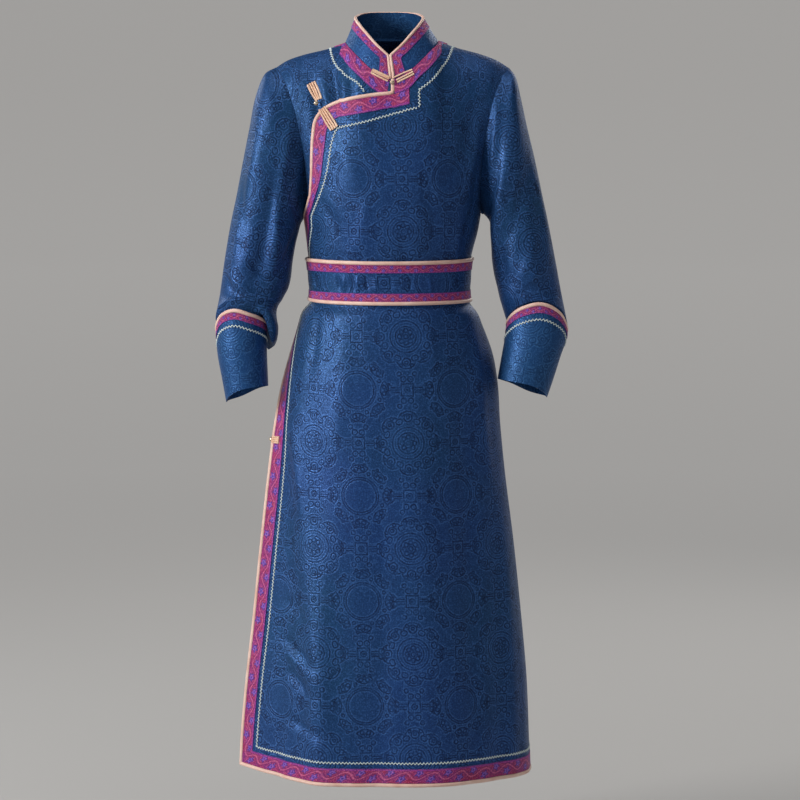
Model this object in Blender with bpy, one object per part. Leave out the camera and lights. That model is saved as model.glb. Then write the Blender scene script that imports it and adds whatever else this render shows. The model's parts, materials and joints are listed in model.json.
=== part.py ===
"""A Mongolian deel as it hangs on its wearer: one long outer front that laps to the wearer's right,
the under front and the back behind it, two set-in sleeves with arched cuffs, a standing collar and
a belt, all edged with a patterned band, satin piping and a zigzag braid.

Units are metres and +Z is up. The origin is at the base of the neck, where the shoulders hold the
robe. The front faces -Y and the wearer's right is -X.

Two numbers name every place on the body of the robe:
    u  goes across a side, from -1 at the wearer's right seam over 0 at the middle to +1
    r  goes up: below 0 it is metres under the armpits, and from 0 to 1 it climbs from the armpits
       to the neckline and the shoulder seams
"""

from collections import namedtuple

import bmesh
import bpy
import numpy as np
from mathutils import Quaternion, Vector
from mathutils.bvhtree import BVHTree

# ---------------------------------------------------------------------------------- driving sizes
CLOTH = 0.0018          # brocade with its backing
BAND = 0.0010           # woven band
BRAID = 0.0010          # zigzag braid
PIPING = 0.0012         # satin folded over a cord
PIPING_CROWN = 0.0012   # how far the cord stands up in the middle of the piping
LIFT = 0.0008           # clearance under anything sewn on a panel
CLEAR = 0.0004          # and the least that is left of it where flat facets meet a curve
FLAP_LIFT = 0.0037      # the outer front rides this far above the under front
SEAM = 0.001            # share of a panel left open at a seam, about 0.3 mm
SHOULDER_SEAM = 0.0032  # and at the shoulder, where the two walls lean towards each other

BAND_WIDTH = 0.0245     # patterned band on the edges
PIPING_WIDTH = 0.0055
TRIM_GAP = 0.0006       # between a piping and the band beside it
COLLAR_GAP = 0.0014     # the collar starts this far above the neckline
COLLAR_END = 0.004      # share of a collar half left open at the front and at the back
COLLAR_HEIGHT = 0.047
COLLAR_LENGTH = 0.190   # of one half, for the insets of its trims
BRAID_WIDTH = 0.0050
BRAID_IN = 0.0395       # middle of the braid, from the edge of the cloth

ARMPIT = -0.280         # height of the underarm
HEM = -1.2395           # height of the hem at the middle
HEM_RISE = 0.012        # how much the free corner of the flap lifts
UNDER_HEM = 0.012       # how much shorter the under front is
UNDER_TUCK = 0.005      # and how far it hangs behind the outer front below the belt
CENTRE = 0.004          # the neck and shoulders sit this far to the wearer's left
ROUND = 0.5523          # Bezier handle that makes a quarter of an ellipse

# ---------------------------------------------------------------------------------- tables
Section = namedtuple("Section", "height right left front back")
SECTIONS = (
    Section(-1.2600, 0.2320, 0.2440, 0.1730, 0.1680),
    Section(-1.1900, 0.2270, 0.2413, 0.1690, 0.1640),
    Section(-1.0790, 0.2200, 0.2366, 0.1630, 0.1570),
    Section(-0.9760, 0.2100, 0.2274, 0.1560, 0.1520),
    Section(-0.8470, 0.1985, 0.2139, 0.1490, 0.1470),
    Section(-0.7100, 0.1870, 0.1968, 0.1410, 0.1420),
    Section(-0.6333, 0.1800, 0.1895, 0.1340, 0.1370),
    Section(-0.5700, 0.1725, 0.1855, 0.1270, 0.1300),
    Section(-0.5200, 0.1640, 0.1770, 0.1200, 0.1210),
    Section(-0.4700, 0.1525, 0.1590, 0.1130, 0.1100),
    Section(-0.4450, 0.1440, 0.1480, 0.1090, 0.1035),
    Section(-0.4330, 0.1330, 0.1380, 0.1025, 0.0950),
    Section(-0.4180, 0.1295, 0.1345, 0.1000, 0.0925),
    Section(-0.3900, 0.1310, 0.1355, 0.1000, 0.0925),
    Section(-0.3600, 0.1335, 0.1375, 0.1015, 0.0935),
    Section(-0.3400, 0.1365, 0.1420, 0.1065, 0.0970),
    Section(-0.3060, 0.1390, 0.1510, 0.1120, 0.1030),
    Section(-0.2800, 0.1425, 0.1555, 0.1150, 0.1060),
)

# Top of the bodice by |u|: the neckline up to 0.42, then the shoulder seam. "rise" leaves the armpit
# row and "drop" comes down from the top, and both bend the column of cloth between them.
Top = namedtuple("Top", "u x y z rise_x rise_y rise_z drop_x drop_y drop_z")
FRONT_TOP = (
    Top(0.00, 0.0000, -0.0800, -0.0490, 0.000, -0.006, 0.080, 0.000, -0.022, -0.051),
    Top(0.12, 0.0310, -0.0735, -0.0340, 0.000, -0.007, 0.080, 0.000, -0.030, -0.050),
    Top(0.24, 0.0550, -0.0570, -0.0130, 0.000, -0.010, 0.082, 0.002, -0.044, -0.045),
    Top(0.34, 0.0720, -0.0330, 0.0040, 0.000, -0.013, 0.084, 0.003, -0.060, -0.034),
    Top(0.42, 0.0800, -0.0020, 0.0127, 0.000, -0.016, 0.085, 0.003, -0.078, -0.010),
    Top(0.56, 0.1070, 0.0020, 0.0034, 0.000, -0.022, 0.085, 0.000, -0.076, -0.006),
    Top(0.72, 0.1500, 0.0030, -0.0070, -0.002, -0.030, 0.083, -0.006, -0.074, -0.006),
    Top(0.86, 0.1780, 0.0040, -0.0165, -0.007, -0.044, 0.073, -0.018, -0.080, -0.014),
    Top(1.00, 0.1985, 0.0040, -0.0290, -0.010, -0.060, 0.060, -0.033, -0.086, -0.026),
)
BACK_TOP = (
    Top(0.00, 0.0000, 0.0640, 0.0180, 0.000, 0.006, 0.085, 0.000, 0.034, -0.045),
    Top(0.12, 0.0280, 0.0610, 0.0185, 0.000, 0.006, 0.085, 0.000, 0.036, -0.044),
    Top(0.24, 0.0500, 0.0500, 0.0190, 0.000, 0.008, 0.085, 0.002, 0.044, -0.038),
    Top(0.34, 0.0690, 0.0300, 0.0175, 0.000, 0.010, 0.085, 0.003, 0.056, -0.030),
    Top(0.42, 0.0800, -0.0020, 0.0127, 0.000, 0.013, 0.085, 0.003, 0.076, -0.008),
    Top(0.56, 0.1070, 0.0020, 0.0034, 0.000, 0.018, 0.085, 0.000, 0.076, -0.006),
    Top(0.72, 0.1500, 0.0030, -0.0070, -0.002, 0.028, 0.083, -0.006, 0.074, -0.006),
    Top(0.86, 0.1780, 0.0040, -0.0165, -0.006, 0.040, 0.070, -0.014, 0.078, -0.014),
    Top(1.00, 0.1985, 0.0040, -0.0290, -0.004, 0.050, 0.055, -0.027, 0.080, -0.026),
)

NECK_ROWS = 5           # rows of both tables that belong to the neckline
NECK_CORNER = 0.42      # where the neckline meets the shoulder seam, in |u|

# The free edge of the flap below the armpits. "wrap" is how far it passes the side seam on to the
# back, in units of u. Lower down the edge leaves the body and flares: "x" and "y" place it, and
# "turn" is the angle between the cloth at the edge and a plane that faces forward.
Flap = namedtuple("Flap", "height wrap flare x y turn")
FLAP = (
    Flap(-1.2600, 0.00, 1.00, 0.2605, -0.0380, 42.0),
    Flap(-1.1833, 0.00, 1.00, 0.2570, -0.0370, 42.0),
    Flap(-1.0790, 0.00, 1.00, 0.2479, -0.0360, 42.0),
    Flap(-0.9760, 0.00, 1.00, 0.2361, -0.0340, 41.0),
    Flap(-0.8470, 0.00, 1.00, 0.2228, -0.0320, 41.0),
    Flap(-0.7100, 0.00, 1.00, 0.2075, -0.0280, 44.0),
    Flap(-0.6500, 0.00, 1.00, 0.1997, -0.0240, 52.0),
    Flap(-0.5700, 0.04, 0.85, 0.1863, -0.0100, 68.0),
    Flap(-0.5200, 0.08, 0.55, 0.1740, 0.0000, 82.0),
    Flap(-0.4700, 0.14, 0.20, 0.1600, 0.0100, 96.0),
    Flap(-0.4300, 0.18, 0.00, 0.1500, 0.0200, 100.0),
    Flap(-0.3900, 0.18, 0.00, 0.1500, 0.0200, 100.0),
    Flap(-0.3500, 0.14, 0.00, 0.1500, 0.0200, 100.0),
    Flap(-0.3200, 0.06, 0.00, 0.1500, 0.0200, 100.0),
    Flap(-0.2960, 0.00, 0.00, 0.1500, 0.0200, 100.0),
    Flap(-0.2800, 0.00, 0.00, 0.1500, 0.0200, 100.0),
)
FLAP_HANDLE = 0.56      # Bezier handle at the middle of the flared section
FLAP_TAIL = 0.40        # and at its free edge, both as a share of the half width

# The flap across the chest, from the neck to the underarm, as seen from the front: its edge, the
# inner side of the band and the middle of the braid.
Lap = namedtuple("Lap", "edge_x edge_z band_x band_z braid_x braid_z")
LAP = (
    Lap(0.0021, -0.0682, 0.0021, -0.0951, 0.0089, -0.1044),
    Lap(-0.0416, -0.0733, -0.0417, -0.1035, -0.0417, -0.1186),
    Lap(-0.0753, -0.0800, -0.0703, -0.1086, -0.0670, -0.1245),
    Lap(-0.1006, -0.0892, -0.0889, -0.1128, -0.0821, -0.1279),
    Lap(-0.1158, -0.0993, -0.0990, -0.1195, -0.0889, -0.1313),
    Lap(-0.1268, -0.1144, -0.1049, -0.1296, -0.0931, -0.1397),
    Lap(-0.1319, -0.1413, -0.1083, -0.1498, -0.0974, -0.1531),
    Lap(-0.1337, -0.1750, -0.1126, -0.1834, -0.1025, -0.1834),
    Lap(-0.1342, -0.2087, -0.1160, -0.2138, -0.1075, -0.2138),
    Lap(-0.1362, -0.2424, -0.1192, -0.2458, -0.1125, -0.2458),
)
# Past the neck's middle only the band and the braid go on, on the outer front itself.
LapEnd = namedtuple("LapEnd", "near_x near_z far_x far_z braid_x braid_z")
LAP_END = (
    LapEnd(0.0325, -0.0618, 0.0333, -0.0892, 0.0455, -0.0950),
    LapEnd(0.0175, -0.0668, 0.0180, -0.0925, 0.0280, -0.0990),
)
LAP_FOOT = -0.016       # r where the edge of the flap meets the side seam

# Soft folds of the skirt: a ridge is positive. "u" is its middle, "spread" its half width in u, and
# it fades in from "high" to "low".
Fold = namedtuple("Fold", "u spread high low size")
FRONT_FOLDS = (
    Fold(-0.36, 0.10, -0.62, -1.15, 0.0060),
    Fold(-0.05, 0.08, -0.80, -1.24, -0.0050),
    Fold(0.25, 0.11, -0.70, -1.24, 0.0045),
    Fold(0.56, 0.09, -0.62, -1.24, -0.0045),
    Fold(0.80, 0.09, -0.55, -1.24, 0.0040),
    Fold(-0.70, 0.07, -0.85, -1.24, -0.0040),
)
BACK_FOLDS = (
    Fold(-0.62, 0.10, -0.55, -1.24, 0.0050),
    Fold(-0.34, 0.09, -0.65, -1.24, -0.0060),
    Fold(-0.05, 0.11, -0.50, -1.24, 0.0060),
    Fold(0.25, 0.09, -0.60, -1.24, -0.0055),
    Fold(0.55, 0.11, -0.55, -1.24, 0.0055),
    Fold(0.82, 0.07, -0.70, -1.24, -0.0035),
)

# Collar, from the middle of the front (0) round one side (0.5) to the middle of the back (1).
Collar = namedtuple("Collar", "way top_x top_y top_z")
COLLAR = (
    Collar(0.000, 0.0000, -0.0640, -0.0075),
    Collar(0.143, 0.0200, -0.0600, 0.0110),
    Collar(0.286, 0.0370, -0.0480, 0.0300),
    Collar(0.405, 0.0500, -0.0290, 0.0450),
    Collar(0.500, 0.0570, -0.0020, 0.0560),
    Collar(0.595, 0.0500, 0.0270, 0.0615),
    Collar(0.714, 0.0370, 0.0450, 0.0640),
    Collar(0.857, 0.0200, 0.0540, 0.0650),
    Collar(1.000, 0.0000, 0.0570, 0.0650),
)
COLLAR_LEAN = -0.001    # the top of the collar sits this far to the wearer's right

# Sleeves: each ring runs from its outer side to its inner side, both seen from the front.
Ring = namedtuple("Ring", "place outer_x outer_z inner_x inner_z middle_y depth")
RIGHT_SLEEVE = (
    Ring(0.08, -0.2140, -0.0410, -0.1520, -0.2950, 0.0000, 0.0660),
    Ring(0.17, -0.2295, -0.0800, -0.1560, -0.3100, -0.0010, 0.0680),
    Ring(0.27, -0.2395, -0.1300, -0.1600, -0.3260, -0.0010, 0.0670),
    Ring(0.38, -0.2505, -0.1850, -0.1630, -0.3430, -0.0010, 0.0650),
    Ring(0.50, -0.2615, -0.2430, -0.1660, -0.3620, -0.0020, 0.0630),
    Ring(0.62, -0.2725, -0.2950, -0.1690, -0.3850, -0.0050, 0.0600),
    Ring(0.75, -0.2828, -0.3560, -0.1740, -0.4050, -0.0090, 0.0570),
    Ring(0.90, -0.2905, -0.4120, -0.1850, -0.4260, -0.0130, 0.0530),
)
LEFT_SLEEVE = (
    Ring(0.08, 0.2150, -0.0450, 0.1630, -0.2850, 0.0000, 0.0660),
    Ring(0.17, 0.2235, -0.0800, 0.1720, -0.2980, -0.0010, 0.0680),
    Ring(0.27, 0.2345, -0.1300, 0.1745, -0.3130, -0.0010, 0.0670),
    Ring(0.38, 0.2478, -0.1850, 0.1745, -0.3300, -0.0010, 0.0650),
    Ring(0.50, 0.2600, -0.2430, 0.1735, -0.3500, -0.0020, 0.0630),
    Ring(0.62, 0.2712, -0.2950, 0.1770, -0.3760, -0.0050, 0.0600),
    Ring(0.75, 0.2830, -0.3560, 0.1835, -0.4020, -0.0090, 0.0570),
    Ring(0.90, 0.2925, -0.4080, 0.1880, -0.4220, -0.0130, 0.0530),
)

# The end of a sleeve beside the top edge of its cuff: "out" from the cuff's face and "up" from its
# edge. The second pair is for the side where the cloth droops outside the cuff before it turns in.
Tuck = namedtuple("Tuck", "out up droop_out droop_up")
TUCK = (
    Tuck(0.0012, 0.0160, 0.0170, 0.0140),
    Tuck(0.0002, 0.0140, 0.0205, -0.0100),
    Tuck(-0.0006, 0.0120, 0.0165, -0.0320),
    Tuck(-0.0014, 0.0100, 0.0100, -0.0370),
    Tuck(-0.0022, 0.0080, 0.0085, -0.0150),
    Tuck(-0.0032, 0.0060, 0.0070, 0.0060),
    Tuck(-0.0042, 0.0035, 0.0005, 0.0090),
    Tuck(-0.0050, -0.0040, -0.0050, 0.0010),
    Tuck(-0.0058, -0.0250, -0.0058, -0.0250),
)
DROOP_ANGLE = 190.0     # middle of the droop, in degrees round the cuff
DROOP_CORE = 25.0       # degrees to each side of it where the droop is whole
DROOP_SPREAD = 70.0     # and where it ends
TUCK_START = 0.93       # place of the first tuck row along the sleeve
TUCK_STEP = 0.012
SLEEVE_GAP = 0.0007     # clearance at the armhole seam

# Cuffs by height, then their top and bottom edges round the wrist, where 0 degrees is the outer
# side and 90 degrees faces forward.
CuffRing = namedtuple("CuffRing", "height outer_x inner_x middle_y depth")
RIGHT_CUFF = (
    CuffRing(-0.6050, -0.2790, -0.2065, -0.0350, 0.0420),
    CuffRing(-0.5600, -0.2871, -0.2085, -0.0300, 0.0440),
    CuffRing(-0.5140, -0.2954, -0.2103, -0.0250, 0.0465),
    CuffRing(-0.4700, -0.2972, -0.2112, -0.0200, 0.0485),
    CuffRing(-0.4200, -0.2972, -0.2120, -0.0150, 0.0500),
)
LEFT_CUFF = (
    CuffRing(-0.6050, 0.2640, 0.1770, -0.0350, 0.0420),
    CuffRing(-0.5600, 0.2797, 0.1841, -0.0300, 0.0445),
    CuffRing(-0.5200, 0.2925, 0.1912, -0.0250, 0.0470),
    CuffRing(-0.4870, 0.3030, 0.1972, -0.0215, 0.0490),
    CuffRing(-0.4600, 0.3020, 0.2012, -0.0190, 0.0500),
    CuffRing(-0.4200, 0.2990, 0.2060, -0.0150, 0.0500),
)
CuffEdge = namedtuple("CuffEdge", "angle top bottom")
RIGHT_CUFF_EDGE = (
    CuffEdge(-70.0, -0.4870, -0.5930),
    CuffEdge(0.0, -0.4740, -0.5990),
    CuffEdge(38.0, -0.4480, -0.5870),
    CuffEdge(74.0, -0.4374, -0.5755),
    CuffEdge(115.0, -0.4450, -0.5700),
    CuffEdge(180.0, -0.4640, -0.5711),
    CuffEdge(235.0, -0.4810, -0.5780),
    CuffEdge(290.0, -0.4870, -0.5930),
    CuffEdge(360.0, -0.4740, -0.5990),
)
LEFT_CUFF_EDGE = (
    CuffEdge(-70.0, -0.4870, -0.5850),
    CuffEdge(0.0, -0.4740, -0.5910),
    CuffEdge(38.0, -0.4440, -0.5800),
    CuffEdge(82.0, -0.4265, -0.5660),
    CuffEdge(125.0, -0.4340, -0.5600),
    CuffEdge(180.0, -0.4610, -0.5591),
    CuffEdge(235.0, -0.4810, -0.5680),
    CuffEdge(290.0, -0.4870, -0.5850),
    CuffEdge(360.0, -0.4740, -0.5910),
)
CUFF_BAND = 0.0115      # width of the patterned band on a cuff
CUFF_BRAID_IN = 0.0285  # middle of the braid, from the top edge of the cuff

# Soft folds of the sleeves: "place" along the sleeve, "angle" round it, their half sizes, and
# "slant", the degrees that a fold turns for each unit of place.
Crease = namedtuple("Crease", "place angle long wide slant size")
RIGHT_CREASES = (
    Crease(0.28, 55.0, 0.16, 22.0, 60.0, 0.0050),
    Crease(0.42, 110.0, 0.16, 22.0, 60.0, 0.0045),
    Crease(0.70, 70.0, 0.10, 24.0, -80.0, 0.0050),
    Crease(0.84, 120.0, 0.08, 26.0, -120.0, -0.0050),
    Crease(0.60, 250.0, 0.12, 28.0, 70.0, 0.0050),
    Crease(0.30, 290.0, 0.14, 24.0, -50.0, 0.0045),
)
LEFT_CREASES = (
    Crease(0.24, 60.0, 0.16, 22.0, 70.0, 0.0050),
    Crease(0.48, 100.0, 0.14, 22.0, 70.0, 0.0050),
    Crease(0.74, 80.0, 0.10, 24.0, -70.0, 0.0045),
    Crease(0.60, 145.0, 0.08, 22.0, 40.0, -0.0045),
    Crease(0.60, 250.0, 0.12, 28.0, 70.0, 0.0050),
    Crease(0.30, 290.0, 0.14, 24.0, -50.0, 0.0045),
)

# Belt
BELT_TOP = -0.3525
BELT_BOTTOM = -0.4285
BELT_GAP = 0.0016       # clearance between the outer front and the belt
BELT_CLOTH = 0.0020
BELT_BAND = 0.0150
BELT_PIPING = 0.0052

# Neck trims, by |u|: width of the band and distance of the braid from the neckline.
NeckTrim = namedtuple("NeckTrim", "u band braid")
NECK_TRIM = (
    NeckTrim(0.00, 0.0165, 0.0400),
    NeckTrim(0.20, 0.0165, 0.0385),
    NeckTrim(0.34, 0.0140, 0.0280),
    NeckTrim(0.42, 0.0120, 0.0240),
)
NECK_BAND_IN = 0.0025   # the neck band starts this far from the collar
BRAID_CORNER = (0.0500, -0.0942)    # x and z where the neck braid turns into the flap's
COLLAR_BAND = 0.0120    # width of the band on the collar
CORNER_GAP = 0.0016     # between the collar's band and piping, which twist at its corner

# Frogs: tabs of laid cords in the plane seen from the front, each from its free end to its knot.
Tab = namedtuple("Tab", "name x z end_x end_z width end_width")
CHEST_TABS = (
    Tab("chest_frog_upper", -0.1330, -0.0555, -0.1190, -0.0835, 0.0175, 0.0130),
    Tab("chest_frog_lower", -0.0935, -0.1300, -0.1140, -0.0965, 0.0165, 0.0130),
)
CHEST_KNOT = (-0.1166, -0.0885)
CORDS = 4               # cords side by side in a tab
CORD_RISE = 0.0016      # how far each cord stands up
TAB_BASE = 0.0014       # thickness of a tab between its cords
KNOT = 0.0046           # radius of a knot button
NECK_BAR = 0.038        # how far each bar of the neck frog reaches from the middle
NECK_KNOT_GAP = 0.006   # and where it starts beside the knot
NECK_BAR_WIDTH = 0.0078
SIDE_FROG = -0.664      # height of the side frog
SIDE_TAB = 0.021        # its length along the flap
SIDE_TAB_WIDTH = 0.0125

# ---------------------------------------------------------------------------------- materials
Finish = namedtuple("Finish", "color roughness metallic")
FINISHES = {
    "brocade": Finish((0.020, 0.060, 0.200), 0.38, 0.0),
    "band": Finish((0.420, 0.020, 0.120), 0.60, 0.0),
    "piping": Finish((0.800, 0.440, 0.330), 0.35, 0.0),
    "braid": Finish((0.520, 0.760, 0.660), 0.55, 0.0),
    "frog": Finish((0.800, 0.460, 0.240), 0.35, 0.0),
    "knot": Finish((0.700, 0.560, 0.360), 0.30, 0.8),
}


def clear_scene():
    for obj in list(bpy.data.objects):
        bpy.data.objects.remove(obj, do_unlink=True)


def finish_material(name, finish):
    """A material of its own for each piece, in the colour of its cloth or cord."""
    material = bpy.data.materials.new(name)
    material.use_nodes = True
    shader = material.node_tree.nodes["Principled BSDF"]
    shader.inputs["Base Color"].default_value = (*finish.color, 1.0)
    shader.inputs["Roughness"].default_value = finish.roughness
    shader.inputs["Metallic"].default_value = finish.metallic
    return material


# ---------------------------------------------------------------------------------- reading tables
def smooth(table, column, where, level_start=False):
    """One column of a table, read at any place as a smooth curve through its rows. Where a table
    starts at the middle of the robe, a level start carries the curve smoothly over to the far side."""
    at = np.array([row[0] for row in table], float)
    value = np.array([getattr(row, column) for row in table], float)
    slope = np.gradient(value, at)
    if level_start:
        slope[0] = 0.0
    where = np.clip(np.asarray(where, float), at[0], at[-1])
    first = np.clip(np.searchsorted(at, where, side="right") - 1, 0, len(at) - 2)
    step = at[first + 1] - at[first]
    t = (where - at[first]) / step
    return (
        (1 + 2 * t) * (1 - t) ** 2 * value[first]
        + t * (1 - t) ** 2 * step * slope[first]
        + t * t * (3 - 2 * t) * value[first + 1]
        - t * t * (1 - t) * step * slope[first + 1]
    )


def fade(value, start, end):
    """0 before start, 1 after end and a smooth step between them."""
    t = np.clip((np.asarray(value, float) - start) / (end - start), 0.0, 1.0)
    return t * t * (3 - 2 * t)


def bezier(a, b, c, d, t):
    return (1 - t) ** 3 * a + 3 * t * (1 - t) ** 2 * b + 3 * t * t * (1 - t) * c + t ** 3 * d


def stack(x, y, z):
    return np.stack(np.broadcast_arrays(x, y, z), axis=-1)


def polyline(points, where):
    """Points spread evenly along a line through a few corners, read at shares of its length."""
    points = np.asarray(points, float)
    length = np.concatenate([[0.0], np.cumsum(np.linalg.norm(np.diff(points, axis=0), axis=1))])
    share = length / length[-1]
    return np.stack([np.interp(where, share, points[:, k]) for k in range(points.shape[1])], axis=-1)


# ---------------------------------------------------------------------------------- body of the robe
def fold_height(folds, u, z):
    total = np.zeros(np.broadcast(u, z).shape)
    for fold in folds:
        grow = fade(-np.asarray(z), -fold.high, -fold.low)
        total = total + fold.size * grow * np.exp(-(((u - fold.u) / fold.spread) ** 2))
    return total


def section(side, u, z):
    """The robe at a height below the armpits: half an ellipse on the front (-1) or the back (+1)."""
    t = np.abs(u)
    width = np.where(u < 0, smooth(SECTIONS, "right", z), smooth(SECTIONS, "left", z))
    depth = smooth(SECTIONS, "front" if side < 0 else "back", z)
    x = np.sign(u) * bezier(0.0, ROUND * width, width, width, t)
    y = side * bezier(depth, depth, ROUND * depth, 0.0, t)
    grow = 1 + fold_height(FRONT_FOLDS if side < 0 else BACK_FOLDS, u, z) / np.hypot(x, y)
    return stack(x * grow, y * grow, z)


def bodice(side, u, v):
    """The robe above the armpits, each column a Bezier curve from the armpit row to its top."""
    table = FRONT_TOP if side < 0 else BACK_TOP
    hand = np.sign(u)
    t = np.abs(u)

    def read(column):
        neck = smooth(table[:NECK_ROWS], column, t, level_start=not column.endswith("x"))
        return np.where(t < table[NECK_ROWS - 1].u, neck, smooth(table[NECK_ROWS - 1:], column, t))

    def vector(kind):
        return stack(hand * read(kind + "x"), read(kind + "y"), read(kind + "z"))

    foot = section(side, u, np.full(np.shape(u), ARMPIT))
    head = vector("") + np.array([CENTRE, 0.0, 0.0])
    v = np.asarray(v)[..., None]
    return bezier(foot, foot + vector("rise_"), head + vector("drop_"), head, v)


def body(side, u, r):
    """A point of the robe's own surface, on the front (-1) or the back (+1)."""
    u, r = np.broadcast_arrays(np.asarray(u, float), np.asarray(r, float))
    low = section(side, u, ARMPIT + np.minimum(r, 0.0))
    high = bodice(side, u, np.clip(r, 0.0, 1.0))
    return np.where((r <= 0.0)[..., None], low, high)


def normals(surface, u, r):
    """Unit normals of a surface, pointing to the left of u when r points up."""
    step = 1e-4
    along = surface(u + step, r) - surface(u - step, r)
    upward = surface(u, r + step) - surface(u, r - step)
    cross = np.cross(along, upward)
    return cross / np.linalg.norm(cross, axis=-1, keepdims=True)


def front(u, r):
    return body(-1, u, r)


def back(u, r):
    """The back with its own u reversed, so that its normals point out too."""
    return body(1, -u, r)


def raised(surface, u, r, lift):
    """A surface moved out along its normals."""
    u, r = np.broadcast_arrays(np.asarray(u, float), np.asarray(r, float))
    lift = np.broadcast_to(np.asarray(lift, float), u.shape)
    return surface(u, r) + normals(surface, u, r) * lift[..., None]


def wrapped(u, r):
    """The front's surface carried on past the wearer's right seam on to the back."""
    past = u < -1.0
    return np.where(past[..., None], body(1, np.where(past, -2.0 - u, -1.0), r), body(-1, np.maximum(u, -1.0), r))


def outer_front(u, r):
    """The outer front: above the under front, wrapped round the side, then flaring to its edge."""
    u, r = np.broadcast_arrays(np.asarray(u, float), np.asarray(r, float))
    z = ARMPIT + np.minimum(r, 0.0)
    right = np.clip(-u, 0.0, 1.05)
    lift = FLAP_LIFT * (1 - fade(u, 0.25, 0.95))
    stretched = np.where(u < 0, u * (1 + smooth(FLAP, "wrap", z)), u)
    close = raised(wrapped, stretched, r, lift)

    depth = smooth(SECTIONS, "front", z) + FLAP_LIFT
    edge_x = -smooth(FLAP, "x", z)
    edge_y = smooth(FLAP, "y", z)
    turn = np.radians(smooth(FLAP, "turn", z))
    handle = FLAP_TAIL * edge_x
    x = bezier(0.0, FLAP_HANDLE * edge_x, edge_x - handle * np.cos(turn), edge_x, right)
    y = bezier(-depth, -depth, edge_y + handle * np.sin(turn), edge_y, right)
    grow = 1 + fold_height(FRONT_FOLDS, u, z) / np.hypot(x, y)
    flared = stack(x * grow, y * grow, z)

    share = np.where((u < 0) & (r < 0), smooth(FLAP, "flare", z), 0.0)[..., None]
    return close * (1 - share) + flared * share


def locate(surface, x, z, u, r):
    """Where a surface has the given x and z, by Newton steps from a first guess."""
    step = 1e-4
    for _ in range(12):
        here = surface(u, r)
        by_u = (surface(u + step, r) - here) / step
        by_r = (surface(u, r + step) - here) / step
        miss_x = x - here[..., 0]
        miss_z = z - here[..., 2]
        area = by_u[..., 0] * by_r[..., 2] - by_r[..., 0] * by_u[..., 2]
        area = np.where(np.abs(area) < 1e-6, 1e-6, area)
        u = u + np.clip((miss_x * by_r[..., 2] - miss_z * by_r[..., 0]) / area, -0.1, 0.1)
        r = r + np.clip((miss_z * by_u[..., 0] - miss_x * by_u[..., 2]) / area, -0.1, 0.1)
        u = np.clip(u, -1.0, 1.0)
        r = np.clip(r, 0.002, 0.999)
    return u, r


# ---------------------------------------------------------------------------------- sheets of cloth
TREES = {}              # every wall made so far, for the walls that are laid over it
REACH = 0.015           # how far out the search for the walls underneath starts


def wall(name, finish, outer, inner, closed=False):
    """A closed wall of cloth between two grids of points, its outer and its inner face. A closed
    wall goes all the way round, so its last column of points is its first one again."""
    rows, columns = outer.shape[:2]
    mesh = bmesh.new()
    bmesh.ops.create_grid(mesh, x_segments=columns - 1, y_segments=rows - 1, size=1.0)
    place = mesh.verts.layers.int.new("place")
    for vertex in mesh.verts:
        column = round((vertex.co.x + 1) / 2 * (columns - 1))
        row = round((vertex.co.y + 1) / 2 * (rows - 1))
        vertex[place] = row * columns + column
        vertex.co = outer[row, column]
    if closed:
        bmesh.ops.remove_doubles(mesh, verts=mesh.verts, dist=1e-6)
    pushed = bmesh.ops.extrude_face_region(mesh, geom=mesh.faces[:])
    for vertex in pushed["geom"]:
        if isinstance(vertex, bmesh.types.BMVert):
            vertex.co = inner[vertex[place] // columns, vertex[place] % columns]
    bmesh.ops.recalc_face_normals(mesh, faces=mesh.faces)
    bmesh.ops.triangulate(mesh, faces=mesh.faces)
    data = bpy.data.meshes.new(name)
    mesh.to_mesh(data)
    mesh.free()
    data.set_sharp_from_angle(angle=np.radians(50))
    TREES[name] = BVHTree.FromPolygons([v.co for v in data.vertices], [p.vertices for p in data.polygons])
    obj = bpy.data.objects.new(name, data)
    bpy.context.collection.objects.link(obj)
    data.materials.append(finish_material(name + "_finish", FINISHES[finish]))
    return obj


def facet_shares():
    """Places all over a cell of a grid, as shares of its four corners, for both ways to split the
    cell into two triangles."""
    a, b = (axis.ravel() for axis in np.meshgrid(np.linspace(0.0, 1.0, 5), np.linspace(0.0, 1.0, 5)))
    low, high = np.minimum(a, b), np.maximum(a, b)
    rest = np.maximum(1 - a - b, 0.0)
    over = np.maximum(a + b - 1, 0.0)
    falling = np.stack([1 - high, np.maximum(b - a, 0.0), np.maximum(a - b, 0.0), low], axis=-1)
    rising = np.stack([rest, b - over, a - over, over], axis=-1)
    return np.unique(np.round(np.vstack([falling, rising]), 6), axis=0)


SHARES = facet_shares()


def settled(points, out, under, gap):
    """How much farther out each point of a grid must stand for the facets between the points to
    clear the outer faces of the walls under it."""
    needed = np.zeros(points.shape[:2])
    for row in range(points.shape[0] - 1):
        for column in range(points.shape[1] - 1):
            cell = (slice(row, row + 2), slice(column, column + 2))
            ways = SHARES @ out[cell].reshape(4, 3)
            ways = ways / np.linalg.norm(ways, axis=-1, keepdims=True)
            starts = SHARES @ points[cell].reshape(4, 3) + ways * REACH
            miss = 0.0
            for start, way in zip(starts.tolist(), ways.tolist()):
                for name in under:
                    hit = TREES[name].ray_cast(start, -Vector(way), 2 * REACH)
                    if hit[0] is not None:
                        miss = max(miss, gap + REACH - hit[3])
            needed[cell] = np.maximum(needed[cell], miss)
    return needed


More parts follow.
